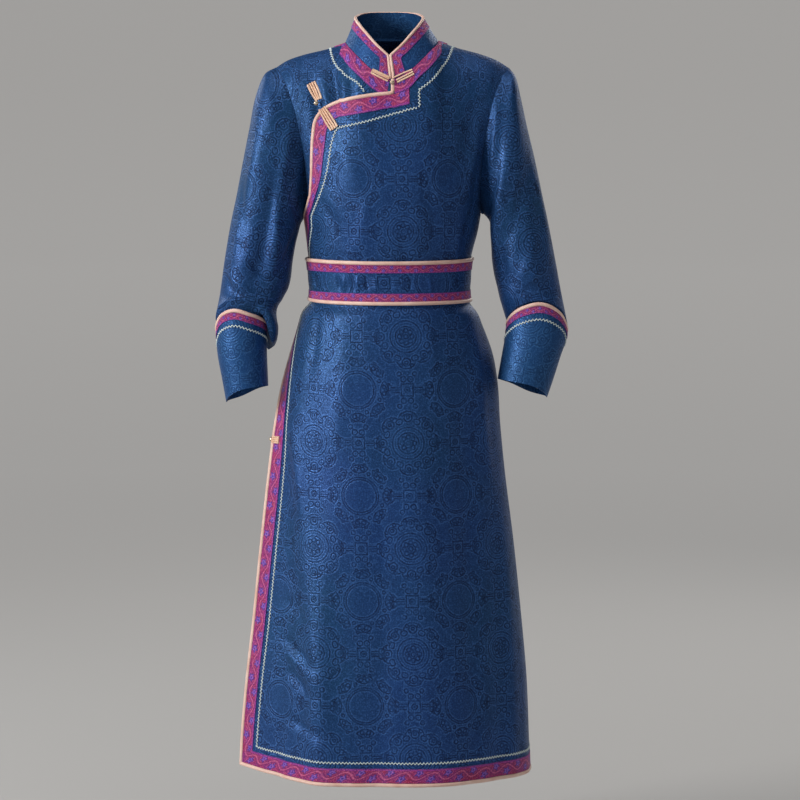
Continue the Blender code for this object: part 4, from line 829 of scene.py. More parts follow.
def ring(x, y, across, up, radius):
    """Distance from a circle with its centre across and up from the middle."""
    return abs(span(x - across, y - up) - radius)


def cut_sizes(tree, across=1000.0, up=1000.0):
    """The two flat sizes of the cloth, in millimetres as a rule."""
    map_node = tree.nodes.new("ShaderNodeUVMap")
    map_node.uv_map = "cut"
    split = tree.nodes.new("ShaderNodeSeparateXYZ")
    tree.links.new(map_node.outputs[0], split.inputs[0])
    return Value(tree, split.outputs[0]) * across, Value(tree, split.outputs[1]) * up


def blend(tree, share, first, second):
    """A colour between two others, which are sockets or plain colours."""
    node = tree.nodes.new("ShaderNodeMix")
    node.data_type = "RGBA"
    tree.links.new(share.socket, node.inputs[0])
    for socket, color in ((node.inputs[6], first), (node.inputs[7], second)):
        if isinstance(color, tuple):
            socket.default_value = (*color, 1.0)
        else:
            tree.links.new(color, socket)
    return node.outputs[2]


def cloudy(tree, scale, detail=3.0):
    """A soft noise from 0 to 1 over the object."""
    place = tree.nodes.new("ShaderNodeTexCoord")
    noise = tree.nodes.new("ShaderNodeTexNoise")
    noise.inputs["Scale"].default_value = scale
    noise.inputs["Detail"].default_value = detail
    tree.links.new(place.outputs["Object"], noise.inputs["Vector"])
    return Value(tree, noise.outputs["Fac"])


def relief(tree, shader, height, depth):
    """Bump of a depth in metres, from a height of 0 to 1."""
    bump = tree.nodes.new("ShaderNodeBump")
    bump.inputs["Distance"].default_value = depth
    tree.links.new(height.socket, bump.inputs["Height"])
    tree.links.new(bump.outputs[0], shader.inputs["Normal"])


def finish(name, roughness=0.5, sheen=0.0, sheen_tint=(1.0, 1.0, 1.0), specular=0.5, metallic=0.0):
    material = bpy.data.materials.new(name)
    material.use_nodes = True
    shader = material.node_tree.nodes["Principled BSDF"]
    shader.inputs["Roughness"].default_value = roughness
    shader.inputs["Sheen Weight"].default_value = sheen
    shader.inputs["Sheen Tint"].default_value = (*sheen_tint, 1.0)
    shader.inputs["Specular IOR Level"].default_value = specular
    shader.inputs["Metallic"].default_value = metallic
    return material, material.node_tree, shader


# %% [markdown]
# ## Brocade
# Brocade is a satin woven in one blue with its figures in a duller thread. The repeat is an old
# one: two kinds of medallion stand in turn on a net, with small squares between them and fretwork
# in the ground. Both medallions have eight like parts, so a point is first turned into one wedge of
# the circle, and only one part is drawn. Each curve gives a dark line with a painted highlight
# beside it, a pale line that stands for the threads catching the light.

# %% Figures of the brocade
REPEAT_ACROSS, REPEAT_UP = 168.0, 178.0
WEDGE = 2 * np.pi / 8


def wedge(x, y):
    """A place in a round figure, folded into one of its eight like parts."""
    radius = span(x, y)
    turn = y.does("ARCTAN2", x).wrap(WEDGE)
    return radius, radius * turn.does("COSINE"), abs(radius * turn.does("SINE"))


def flower_medallion(x, y):
    radius, along, aside = wedge(x, y)
    flower = ring(along, aside, 10.5, 0.0, 3.4).lower(abs(radius - 3.6))
    rings = abs(radius - 17.5).lower(abs(radius - 26.5))
    scrolls = ring(along, aside, 42.5, 0.0, 6.6).lower(ring(along, aside, 43.5, 0.0, 2.6))
    scrolls = scrolls.lower(ring(along, aside, 36.0, 13.5, 4.2), ring(along, aside, 48.0, 9.5, 2.6))
    scallop = abs(span(along - 37.0, aside) - 16.5).higher(along * -1.0 + 43.0)
    return flower.lower(rings, scrolls, scallop), radius


def trefoil_medallion(x, y):
    radius, along, aside = wedge(x, y)
    rings = abs(radius - 31.5).lower(abs(radius - 27.8))
    leaf = abs((span(along - 34.0, aside) - 19.0).higher(span(along - 58.0, aside) - 19.0))
    curls = ring(along, aside, 45.0, 5.6, 3.2).lower(ring(along, aside, 48.5, 0.0, 2.2))
    stem = ring(along, aside, 37.0, 15.3, 2.6).lower(ring(along, aside, 52.0, 9.0, 2.4).higher(along * -1.0 + 51.0))
    return rings.lower(leaf, curls, stem), radius


def net_square(x, y):
    side, rise = abs(x), abs(y)
    edge = side.higher(rise)
    square = abs(edge - 10.0).lower(ring(x, y, 0.0, 0.0, 4.6), span(x, y) - 1.0)
    bars = abs(y.wrap(4.0)).higher(rise - 6.0, side * -1.0 + 13.5, side - 26.0)
    hooks = ring(side, rise, 30.0, 4.4, 4.4).higher(side * -1.0 + 27.0)
    scrolls = ring(side, rise, 6.0, 18.0, 4.4).lower(ring(side, rise, 13.0, 27.0, 3.4))
    return square.lower(bars, hooks, scrolls)


# %% Brocade finish
def brocade_finish(name, satin_color, figure_color, highlight_and_fleck_color, second_color, across=0.0, up=0.0, depth=1.0):
    """Satin with its figures, the repeat shifted by across and up in millimetres."""
    material, tree, shader = finish(name, sheen=0.05, sheen_tint=(0.35, 0.55, 1.0), specular=0.20, metallic=0.35)
    x, y = cut_sizes(tree)
    x = x + across + y * 0.024 + (cloudy(tree, 230.0, 2.0) - 0.5) * 3.0
    y = y + up + (cloudy(tree, 260.0, 2.0) - 0.5) * 3.0
    far_x, far_y = (x + REPEAT_ACROSS / 2).wrap(REPEAT_ACROSS), (y + REPEAT_UP / 2).wrap(REPEAT_UP)
    near_x, near_y = x.wrap(REPEAT_ACROSS), y.wrap(REPEAT_UP)
    flower, from_flower = flower_medallion(near_x, near_y)
    trefoil, from_trefoil = trefoil_medallion(far_x, far_y)
    drawn = flower.lower(trefoil, net_square(far_x, near_y), net_square(near_x, far_y))
    speck = cloudy(tree, 420.0, 2.0)
    worn = ((cloudy(tree, 110.0, 3.0) - 0.5) * 3.0 + 0.70).held()
    dark = drawn.mark(1.25, 0.7) * worn
    # painted highlight: a pale line 2.3 mm beside each figure line, where the threads would catch the light, also
    # raised a little in the bump
    highlight_ridge = (drawn - 2.3).mark(1.0, 0.8) * (worn * 0.5 + 0.5)
    fret = abs(x.wrap(8.4)).higher(abs(y.wrap(8.4))).wrap(2.8).mark(0.7, 0.5)
    scales = abs(span(x.wrap(7.6), y.wrap(5.2)).wrap(2.6)).mark(0.65, 0.5)
    inner = (from_trefoil - 13.0).mark(26.0, 1.0)
    near = (from_flower - 42.0).mark(50.0, 8.0)
    ground = (fret * near + scales * (near * -1.0 + 1.0)) * (inner * -0.4 + 1.0)
    ground = ground * ((cloudy(tree, 36.0) - 0.5) * 3.0 + 0.65).held(0.15) * 0.48
    flecks = ((speck - 0.52) * 8.0).held()
    shade = (dark + (ground + flecks * 0.36) * (dark * -1.0 + 1.0)).lower(1.0)
    clouds = (cloudy(tree, 3.2, 2.0) - 0.36) * 3.2
    color = blend(tree, clouds.held(), satin_color, second_color)
    # the painted highlight and random pale flecks, both in the highlight colour
    color = blend(tree, (highlight_ridge * 0.75 + ((speck * -1.0 + 0.49) * 7.0).higher(0.0) * 0.45).lower(1.0) * depth, color,
                  highlight_and_fleck_color)
    color = blend(tree, shade * 0.9 * depth, color, figure_color)
    thread = (x + y).wrap(1.1).mark(0.55, 0.3)
    tree.links.new(color, shader.inputs["Base Color"])
    tree.links.new((shade * 0.22 + 0.40 + (speck - 0.5) * 0.2).socket, shader.inputs["Roughness"])
    relief(tree, shader, shade * -0.5 + highlight_ridge * 0.5 + thread * 0.10 + speck * 0.4 + 0.4, 0.00035)
    return material


# the third colour of each brocade is its painted highlight, also used for its random pale flecks
brocade = brocade_finish("robe_brocade", (0.013, 0.054, 0.200), (0.003, 0.009, 0.042), (0.048, 0.142, 0.400),
                         (0.011, 0.063, 0.158), across=-15.7, up=658.5)
cuff_brocade = brocade_finish("cuff_damask", (0.014, 0.072, 0.210), (0.003, 0.012, 0.046), (0.060, 0.190, 0.440),
                              (0.012, 0.064, 0.220), across=20.0, up=30.0, depth=0.55)
print("brocade drawn with", len(brocade.node_tree.nodes), "nodes")

# %% [markdown]
# ## Woven band
# The band is a narrow ribbon woven in crimson and violet. A pink stem waves from edge to edge, and
# a violet flower fills each bend, in turn above and below. The UV map of a band counts in widths of
# the band, so the same drawing serves the wide hem band and the narrow one on the cuffs.

# %% Band
STEM_PITCH = 1.90       # length of one wave of the stem, in widths of the band


def band_finish():
    material, tree, shader = finish("woven_band", roughness=0.55, sheen=0.15, sheen_tint=(1.0, 0.55, 0.8),
                                    specular=0.35)
    along, across = cut_sizes(tree, 1.0, 1.0)
    middle = across - 0.5
    wave = (along * (2 * np.pi / STEM_PITCH)).does("SINE")
    stem = abs(middle - wave * 0.24)
    turn = (along - STEM_PITCH / 4).wrap(STEM_PITCH)
    back_turn = (along + STEM_PITCH / 4).wrap(STEM_PITCH)
    rise, fall = middle + 0.20, middle - 0.20
    from_low, from_high = span(turn, rise), span(back_turn, fall)
    nearer = from_low.lower(from_high)
    low_flower, high_flower = (
        reach - (height.does("ARCTAN2", aside) * 5.0).does("COSINE") * 0.060 - 0.235
        for reach, height, aside in ((from_low, rise, turn), (from_high, fall, back_turn))
    )
    flower = low_flower.lower(high_flower)
    inside = (flower * -30.0).held()
    side_stem = abs(span(turn.lower(turn * -1.0), middle) - 0.42).lower(abs(nearer - 0.31))
    fibres, flecks = cloudy(tree, 700.0, 2.0), cloudy(tree, 520.0, 2.0)
    thread = along.wrap(0.05).mark(0.022, 0.012)
    ground = blend(tree, (cloudy(tree, 60.0, 2.0) * 2.4 - 0.7).held(), (0.40, 0.014, 0.070),
                   (0.27, 0.014, 0.200))
    shadow = abs(abs(middle - wave * 0.24) - 0.13)
    for share, color in (
        (stem.mark(0.075, 0.03), (0.66, 0.130, 0.300)),
        (side_stem.mark(0.030, 0.02) * 0.7, (0.55, 0.080, 0.330)),
        (abs(flower).mark(0.030, 0.02), (0.060, 0.004, 0.080)),
        (inside, (0.085, 0.035, 0.400)),
        ((nearer - 0.115).mark(0.05, 0.025) * 0.85, (0.360, 0.170, 0.700)),
        (nearer.mark(0.07, 0.03), (0.030, 0.030, 0.330)),
        ((across - 1.0).mark(0.10, 0.05), (0.070, 0.018, 0.260)),
        ((across - 0.90).mark(0.06, 0.03) * 0.8, (0.400, 0.045, 0.420)),
        (((flecks - 0.52) * 6.0).held(0.0, 0.55), (0.050, 0.008, 0.130)),
        (((flecks * -1.0 + 0.45) * 6.0).held(0.0, 0.40), (0.78, 0.200, 0.420)),
        (shadow.mark(0.022, 0.02) * 0.8, (0.090, 0.006, 0.110)),
        (thread * 0.25, (0.10, 0.008, 0.070)),
    ):
        ground = blend(tree, share, ground, color)
    tree.links.new(ground, shader.inputs["Base Color"])
    raised_thread = stem.mark(0.075, 0.03) * 0.6 + inside * 0.4 + thread * -0.35 + fibres * 0.5
    relief(tree, shader, raised_thread, 0.00035)
    return material


band_weave = band_finish()
print("band drawn with", len(band_weave.node_tree.nodes), "nodes")

# %% [markdown]
# ## Satin, braid, cords and knots
# Satin piping and frog cords shine because their threads lie close and run one way, so they get a
# low roughness and a fine rib along their length. The zigzag braid is a dull thread, with painted
# shade darkening the grooves between its strands, and the knots are worked over small metal beads.

# %% Satin finish
def satin_finish(name, color, deep_color, rib, roughness=0.34):
    """Satin of ribs a rib apart in millimetres, turned to run round the roll."""
    material, tree, shader = finish(name, roughness=roughness, sheen=0.12, sheen_tint=(1.0, 0.85, 0.75),
                                    specular=0.5)
    along, round_it = cut_sizes(tree)
    threads = (along * 0.6 + round_it).wrap(rib).mark(rib * 0.5, rib * 0.25)
    worn = (cloudy(tree, 45.0, 3.0) * 1.9 - 0.55).held()
    tone = blend(tree, worn, color, deep_color)
    tree.links.new(blend(tree, threads * 0.20, tone, deep_color), shader.inputs["Base Color"])
    relief(tree, shader, threads * 0.5 + cloudy(tree, 160.0, 2.0), 0.00025)
    return material


satin = satin_finish("piping_satin", (0.95, 0.700, 0.600), (0.76, 0.430, 0.340), 0.9)
cord_satin = satin_finish("frog_cord", (0.97, 0.730, 0.560), (0.76, 0.430, 0.270), 0.8, 0.28)

# %% Braid and metal finishes
def braid_finish():
    material, tree, shader = finish("zigzag_braid", roughness=0.6, sheen=0.1)
    along, round_it = cut_sizes(tree)
    # painted shade: dark green on the diagonal grooves between the strands, which are sunk in the bump too
    grooves_and_shade = (along * 0.8 + round_it * 1.4).wrap(1.3).mark(0.55, 0.25)
    color = blend(tree, cloudy(tree, 120.0, 2.0), (0.78, 0.93, 0.92), (0.93, 0.97, 0.98))
    color = blend(tree, grooves_and_shade * 0.40, color, (0.05, 0.20, 0.19))
    tree.links.new(color, shader.inputs["Base Color"])
    relief(tree, shader, grooves_and_shade * -0.8 + 0.8, 0.0003)
    return material


zigzag = braid_finish()


def metal_finish():
    material, tree, shader = finish("knot_metal", roughness=0.28, metallic=0.75)
    worn = (cloudy(tree, 600.0, 3.0) * 2.0 - 0.6).held()
    tree.links.new(blend(tree, worn, (0.86, 0.74, 0.58), (0.42, 0.30, 0.18)), shader.inputs["Base Color"])
    relief(tree, shader, cloudy(tree, 900.0, 2.0), 0.0002)
    return material


brass = metal_finish()
print(len(bpy.data.materials), "finishes")

# %% [markdown]
# ## Lines of the flap
# The edge of the flap is a curve from the middle of the neck over the chest to the underarm. It is
# kept as the points where a tailor would chalk it, as seen from the front, together with the inner
# side of the band and the middle of the braid, which run beside it.

# %% Chalk lines
Lap = namedtuple("Lap", "edge_x edge_z band_x band_z braid_x braid_z")
LAP = chart(
    Lap,
    (0.0021, -0.0682, 0.0021, -0.0951, 0.0089, -0.1044),
    (-0.0416, -0.0733, -0.0417, -0.1035, -0.0417, -0.1186),
    (-0.0753, -0.0800, -0.0703, -0.1086, -0.0670, -0.1245),
    (-0.1006, -0.0892, -0.0889, -0.1128, -0.0821, -0.1279),
    (-0.1158, -0.0993, -0.0990, -0.1195, -0.0889, -0.1313),
    (-0.1268, -0.1144, -0.1049, -0.1296, -0.0931, -0.1397),
    (-0.1319, -0.1413, -0.1083, -0.1498, -0.0974, -0.1531),
    (-0.1337, -0.1750, -0.1126, -0.1834, -0.1025, -0.1834),
    (-0.1342, -0.2087, -0.1160, -0.2138, -0.1075, -0.2138),
    (-0.1362, -0.2424, -0.1192, -0.2458, -0.1125, -0.2458),
)
LapEnd = namedtuple("LapEnd", "near_x near_z far_x far_z braid_x braid_z")
LAP_END = chart(
    LapEnd,
    (0.0325, -0.0618, 0.0333, -0.0892, 0.0455, -0.0950),
    (0.0175, -0.0668, 0.0180, -0.0925, 0.0280, -0.0990),
)
LAP_FOOT = -0.016       # r where the edge of the flap meets the side seam
LAP_STEPS = 12          # points of a fine line for each row of the table


def through(points, where):
    """A smooth curve through a few points, read at shares of the way between the first and last."""
    Knot = namedtuple("Knot", "at x z")
    length = run(np.asarray(points, float))
    at = np.interp(where, np.linspace(0.0, 1.0, len(points)), length)
    knots = [Knot(a, *point) for a, point in zip(length, points)]
    return np.stack([smooth(knots, "x", at), smooth(knots, "z", at)], axis=-1)


def steady(line):
    """A line of u and r without the strays left by the search: a running median, then a mean."""
    padded = np.pad(line, ((2, 2), (0, 0)), mode="edge")
    middle = np.median(np.stack([padded[k:k + len(line)] for k in range(5)]), axis=0)
    middle[[0, 1, -2, -1]] = line[[0, 1, -2, -1]]
    mean = middle.copy()
    mean[1:-1] = (middle[:-2] + middle[1:-1] + middle[2:]) / 3
    return mean


def chalk_line(table, kind, count):
    """One line of a table as u and r on the outer front."""
    rough = [(getattr(row, kind + "_x"), getattr(row, kind + "_z")) for row in table]
    x, z = through(rough, np.linspace(0.0, 1.0, count)).T
    guess_u = np.clip((x - CENTRE) / 0.16, -0.95, 0.95)
    guess_r = np.clip((z - ARMPIT) / 0.25, 0.05, 0.95)
    return steady(np.stack(outer.locate(x, z, guess_u, guess_r), axis=-1))


LAP_COUNT = (len(LAP) - 1) * LAP_STEPS + 1
edge_line = chalk_line(LAP, "edge", LAP_COUNT)
band_line = chalk_line(LAP, "band", LAP_COUNT)
braid_line = chalk_line(LAP, "braid", LAP_COUNT)
print("flap edge from", edge_line[0].round(3), "to", edge_line[-1].round(3))

# %% [markdown]
# ## Outer front, under front and back
# The outer front is the largest panel. Its skirt is a plain grid, and above the armpits a patch is
# stretched between four lines: the lapped edge on the wearer's right, the neckline and shoulder at
# the top, the armhole on the left and the chest row below. The under front shows only at the
# wearer's right shoulder, and the back is plain.

# %% Outer front
LAP_TOP = 0.42          # share of the width that hangs below the lapped edge
LAP_CORNER = 5 * LAP_STEPS      # where the flap's side turns into its top, counted from the underarm


def hem_rise(u):
    return HEM_RISE * np.clip((-np.asarray(u, float) - 0.30) / 0.70, 0.0, 1.0) ** 1.7


def skirt_rows(u, rows, rise):
    """Heights of a set of rows over the columns u, the lowest ones lifted by the hem's rise."""
    r = np.repeat(rows[:, None], len(u), axis=1)
    return r + (1 - fade(r, rows[0], rows[0] + 0.20)) * rise[None, :]


def outer_grid(skirt, yoke_rows, low_columns, neck_columns, shoulder_columns):
    columns = np.concatenate([np.linspace(0.0, LAP_TOP, low_columns), np.linspace(0.47, 0.72, neck_columns),
                              np.linspace(0.72, 1.0, shoulder_columns)[1:]])
    edge = edge_line[::-1]
    left = np.vstack([[-1.0, LAP_FOOT], edge[:LAP_CORNER - 1]])
    top = edge[LAP_CORNER:]
    low_u = 2 * columns - 1
    low = skirt_rows(low_u, skirt, hem_rise(low_u))

    under_lap = columns <= LAP_TOP + 1e-9
    neck = np.concatenate([np.linspace(edge[-1, 0], NECK_CORNER, neck_columns),
                           np.linspace(NECK_CORNER, 1.0 - SEAM, shoulder_columns)[1:]])
    top_line = np.zeros((len(columns), 2))
    top_line[under_lap] = polyline(top, columns[under_lap] / LAP_TOP)
    top_line[~under_lap] = np.stack([neck, np.full(len(neck), 1.0 - SHOULDER_SEAM)], axis=-1)
    s = np.linspace(0.0, 1.0, yoke_rows + 1)[1:, None]
    side = polyline(left, s[:, 0])
    right_r = skirt[-1] + s[:, 0] * (1.0 - SHOULDER_SEAM - skirt[-1])
    right = np.stack([np.full(len(s), 1.0 - SEAM), right_r], axis=-1)
    bottom = np.stack([np.clip(low_u, -1.0, 1.0 - SEAM), low[-1]], axis=-1)

    t = columns[None, :, None]
    s = s[:, :, None]
    patch = (1 - s) * bottom[None] + s * top_line[None]
    patch = patch + (1 - t) * (side[:, None] - (1 - s) * bottom[None, :1] - s * top_line[None, :1])
    patch = patch + t * (right[:, None] - (1 - s) * bottom[None, -1:] - s * top_line[None, -1:])
    low_u = np.repeat(np.clip(low_u, -1.0, 1.0 - SEAM)[None, :], len(skirt), axis=0)
    return np.vstack([low_u, patch[..., 0]]), np.vstack([low, patch[..., 1]])


SKIRT_ROWS = np.linspace(HEM, -0.296, 200) - ARMPIT
outer_piece = panel("outer_front", outer, *outer_grid(SKIRT_ROWS, 60, 56, 30, 34), brocade)
print("outer front:", len(outer_piece.data.polygons), "faces")

# %% Under front and back
rows = np.concatenate([np.linspace(HEM, -0.286, 150) - ARMPIT, np.linspace(0.0, 1.0 - SHOULDER_SEAM, 60)])
columns = np.concatenate([np.linspace(-1.0 + SEAM, -NECK_CORNER, 34), np.linspace(-NECK_CORNER, 0.25, 40)[1:]])
r = skirt_rows(columns, rows, np.full(len(columns), UNDER_HEM))
u = np.repeat(columns[None, :], len(rows), axis=0)
under_piece = panel("under_front", under, u, r, brocade)

columns = np.linspace(-1.0 + SEAM, 1.0 - SEAM, 131)
u, r = np.meshgrid(columns, rows)
back_piece = panel("back", rear, u, r, brocade)
print("under front and back:", len(under_piece.data.polygons), len(back_piece.data.polygons), "faces")

# %% [markdown]
# ## Sleeves
# A set-in sleeve is a tube that starts on the armhole's seam line and narrows to the wrist. Each
# ring below is measured from its outer to its inner side, as the arm hangs. At its lower end the
# sleeve is tucked into the cuff, and on the wearer's right the cloth droops over it first.

# %% Rings of the sleeves
Ring = namedtuple("Ring", "place outer_x outer_z inner_x inner_z middle_y depth")
RIGHT_SLEEVE = chart(
    Ring,
    (0.08, -0.2140, -0.0410, -0.1520, -0.2950, 0.0000, 0.0660),
    (0.17, -0.2295, -0.0800, -0.1560, -0.3100, -0.0010, 0.0680),
    (0.27, -0.2395, -0.1300, -0.1600, -0.3260, -0.0010, 0.0670),
    (0.38, -0.2505, -0.1850, -0.1630, -0.3430, -0.0010, 0.0650),
    (0.50, -0.2615, -0.2430, -0.1660, -0.3620, -0.0020, 0.0630),
    (0.62, -0.2725, -0.2950, -0.1690, -0.3850, -0.0050, 0.0600),
    (0.75, -0.2828, -0.3560, -0.1740, -0.4050, -0.0090, 0.0570),
    (0.90, -0.2905, -0.4120, -0.1850, -0.4260, -0.0130, 0.0530),
)
LEFT_SLEEVE = chart(
    Ring,
    (0.08, 0.2150, -0.0450, 0.1630, -0.2850, 0.0000, 0.0660),
    (0.17, 0.2235, -0.0800, 0.1720, -0.2980, -0.0010, 0.0680),
    (0.27, 0.2345, -0.1300, 0.1745, -0.3130, -0.0010, 0.0670),
    (0.38, 0.2478, -0.1850, 0.1745, -0.3300, -0.0010, 0.0650),
    (0.50, 0.2600, -0.2430, 0.1735, -0.3500, -0.0020, 0.0630),
    (0.62, 0.2712, -0.2950, 0.1770, -0.3760, -0.0050, 0.0600),
    (0.75, 0.2830, -0.3560, 0.1835, -0.4020, -0.0090, 0.0570),
    (0.90, 0.2925, -0.4080, 0.1880, -0.4220, -0.0130, 0.0530),
)

# %% The tuck into the cuff
Tuck = namedtuple("Tuck", "out up droop_out droop_up")
TUCK = chart(
    Tuck,
    (0.0012, 0.0160, 0.0170, 0.0140),
    (0.0002, 0.0140, 0.0205, -0.0100),
    (-0.0006, 0.0120, 0.0165, -0.0320),
    (-0.0014, 0.0100, 0.0100, -0.0370),
    (-0.0022, 0.0080, 0.0085, -0.0150),
    (-0.0032, 0.0060, 0.0070, 0.0060),
    (-0.0042, 0.0035, 0.0005, 0.0090),
    (-0.0050, -0.0040, -0.0050, 0.0010),
    (-0.0058, -0.0250, -0.0058, -0.0250),
)
DROOP_ANGLE = 190.0
DROOP_CORE = 25.0
DROOP_SPREAD = 70.0
TUCK_START = 0.93
LEFT_TUCK = 0.3         # the left sleeve rises less above its cuff
TUCK_STEP = 0.012
SLEEVE_GAP = 0.0007
SLEEVE_END = TUCK_START + TUCK_STEP * (len(TUCK) - 1)

# %% Cuff tables
CuffRing = namedtuple("CuffRing", "height outer_x inner_x middle_y depth")
RIGHT_CUFF = chart(
    CuffRing,
    (-0.6050, -0.2790, -0.2065, -0.0350, 0.0420),
    (-0.5600, -0.2871, -0.2085, -0.0300, 0.0440),
    (-0.5140, -0.2954, -0.2103, -0.0250, 0.0465),
    (-0.4700, -0.2972, -0.2112, -0.0200, 0.0485),
    (-0.4200, -0.2972, -0.2120, -0.0150, 0.0500),
)
LEFT_CUFF = chart(
    CuffRing,
    (-0.6050, 0.2640, 0.1770, -0.0350, 0.0420),
    (-0.5600, 0.2797, 0.1841, -0.0300, 0.0445),
    (-0.5200, 0.2925, 0.1912, -0.0250, 0.0470),
    (-0.4870, 0.3030, 0.1972, -0.0215, 0.0490),
    (-0.4600, 0.3020, 0.2012, -0.0190, 0.0500),
    (-0.4200, 0.2990, 0.2060, -0.0150, 0.0500),
)
CuffEdge = namedtuple("CuffEdge", "angle top bottom")
RIGHT_CUFF_EDGE = chart(
    CuffEdge,
    (-70.0, -0.4870, -0.5930),
    (0.0, -0.4740, -0.5990),
    (38.0, -0.4480, -0.5870),
    (74.0, -0.4374, -0.5755),
    (115.0, -0.4450, -0.5700),
    (180.0, -0.4640, -0.5711),
    (235.0, -0.4810, -0.5780),
    (290.0, -0.4870, -0.5930),
    (360.0, -0.4740, -0.5990),
)
LEFT_CUFF_EDGE = chart(
    CuffEdge,
    (-70.0, -0.4870, -0.5850),
    (0.0, -0.4740, -0.5910),
    (38.0, -0.4440, -0.5800),
    (82.0, -0.4265, -0.5660),
    (125.0, -0.4340, -0.5600),
    (180.0, -0.4610, -0.5591),
    (235.0, -0.4810, -0.5680),
    (290.0, -0.4870, -0.5850),
    (360.0, -0.4740, -0.5910),
)

# %% Broad folds of the sleeves
# Each row is one soft fold: its place along the sleeve and its angle round it, its half sizes, the
# degrees it turns for each unit of place, and its height.
Roll = namedtuple("Roll", "place angle long wide slant size")
RIGHT_ROLLS = chart(
    Roll,
    (0.28, 55.0, 0.16, 22.0, 60.0, 0.0050),
    (0.42, 110.0, 0.16, 22.0, 60.0, 0.0045),
    (0.70, 70.0, 0.10, 24.0, -80.0, 0.0050),
    (0.84, 120.0, 0.08, 26.0, -120.0, -0.0050),
    (0.60, 250.0, 0.12, 28.0, 70.0, 0.0050),
    (0.30, 290.0, 0.14, 24.0, -50.0, 0.0045),
)
LEFT_ROLLS = chart(
    Roll,
    (0.30, 138.0, 0.22, 26.0, 0.0, 0.0110),
    (0.24, 60.0, 0.16, 22.0, 70.0, 0.0040),
    (0.48, 100.0, 0.14, 22.0, 70.0, 0.0040),
    (0.74, 80.0, 0.10, 24.0, -70.0, 0.0045),
    (0.60, 145.0, 0.08, 22.0, 40.0, -0.0045),
    (0.60, 250.0, 0.12, 28.0, 70.0, 0.0050),
    (0.30, 290.0, 0.14, 24.0, -50.0, 0.0045),
)

# %% Cuff and sleeve surfaces
def cuff_edge(hand, angle, column):
    return smooth(RIGHT_CUFF_EDGE if hand < 0 else LEFT_CUFF_EDGE, column, np.mod(angle, 360.0))


def cuff_ring(hand, angle, z):
    """A point of a cuff at an angle and a height. 0 degrees is the outer side, 90 the front."""
    table = RIGHT_CUFF if hand < 0 else LEFT_CUFF
    outer_x = smooth(table, "outer_x", z)
    inner_x = smooth(table, "inner_x", z)
    turn = np.radians(angle)
    x = (outer_x + inner_x) / 2 + (outer_x - inner_x) / 2 * np.cos(turn)
    y = smooth(table, "middle_y", z) - smooth(table, "depth", z) * np.sin(turn)
    return stack(x, y, z)


def cuff(hand):
    """The surface of one cuff, from its bottom edge (0) to its top edge (1)."""
    def surface(way, share):
        angle = -hand * np.asarray(way) * 360.0
        top, bottom = cuff_edge(hand, angle, "top"), cuff_edge(hand, angle, "bottom")
        return cuff_ring(hand, angle, bottom + share * (top - bottom))
    return surface


def armhole(hand, angle):
    """The seam line of an armhole: 0 degrees is the shoulder point and 180 the underarm."""
    v = (1 + np.cos(np.radians(angle))) / 2
    side = np.full(np.shape(angle), float(hand))
    faces_front = (np.mod(angle, 360.0) < 180.0)[..., None]
    line = np.where(faces_front, bodice(-1, side, v), bodice(1, side, v))
    return line + np.array([hand * SLEEVE_GAP, 0.0, 0.0])


def sleeve_rings(hand, angle):
    """All rings of a sleeve: the armhole, the arm, then the tuck in the cuff."""
    turn = np.radians(angle)
    places, rings = [0.0], [armhole(hand, angle)]
    for row in RIGHT_SLEEVE if hand < 0 else LEFT_SLEEVE:
        x = (row.outer_x + row.inner_x) / 2 + (row.outer_x - row.inner_x) / 2 * np.cos(turn)
        z = (row.outer_z + row.inner_z) / 2 + (row.outer_z - row.inner_z) / 2 * np.cos(turn)
        places.append(row.place)
        rings.append(stack(x, row.middle_y - row.depth * np.sin(turn), z))
    top = cuff_edge(hand, angle, "top")
    away = np.abs(np.mod(angle - DROOP_ANGLE + 180.0, 360.0) - 180.0)
    droop = 1 - fade(away, DROOP_CORE, DROOP_SPREAD) if hand < 0 else np.zeros(np.shape(angle))
    outward, downward = 1 - (1 - droop) ** 3, droop ** 2
    step = 0.01
    for number, row in enumerate(TUCK):
        up = (row.up if hand < 0 or row.up < 0 else row.up * LEFT_TUCK) + downward * (row.droop_up - row.up)
        level = top + np.minimum(up, 0.0)
        out = cuff_ring(hand, angle + step, level) - cuff_ring(hand, angle - step, level)
        out = unit(np.cross(out, [0.0, 0.0, 1.0]) * -hand)
        aside = row.out + outward * (row.droop_out - row.out)
        places.append(TUCK_START + number * TUCK_STEP)
        rings.append(cuff_ring(hand, angle, level) + out * aside[..., None] + stack(0.0, 0.0, np.maximum(up, 0.0)))
    return np.array(places), np.stack(rings)


def roll_height(hand, angle, place):
    total = np.zeros(np.shape(angle))
    for roll in RIGHT_ROLLS if hand < 0 else LEFT_ROLLS:
        along = place - roll.place
        across = np.mod(angle - roll.angle - roll.slant * along + 180.0, 360.0) - 180.0
        total = total + roll.size * np.exp(-((along / roll.long) ** 2) - (across / roll.wide) ** 2)
    return total * fade(place, 0.06, 0.20) * (1 - fade(place, 0.84, 0.92))


def calm_slopes(rings, places):
    """Slopes through the rings, held back where the curve would swing past a ring."""
    gaps = np.diff(places).reshape((-1,) + (1,) * (rings.ndim - 1))
    steps = np.diff(rings, axis=0) / gaps
    before, after = steps[:-1], steps[1:]
    most = np.where(before * after > 0, 3 * np.minimum(abs(before), abs(after)), 0.0)
    slopes = np.gradient(rings, places, axis=0)
    slopes[1:-1] = np.clip(slopes[1:-1], -most, most)
    return slopes


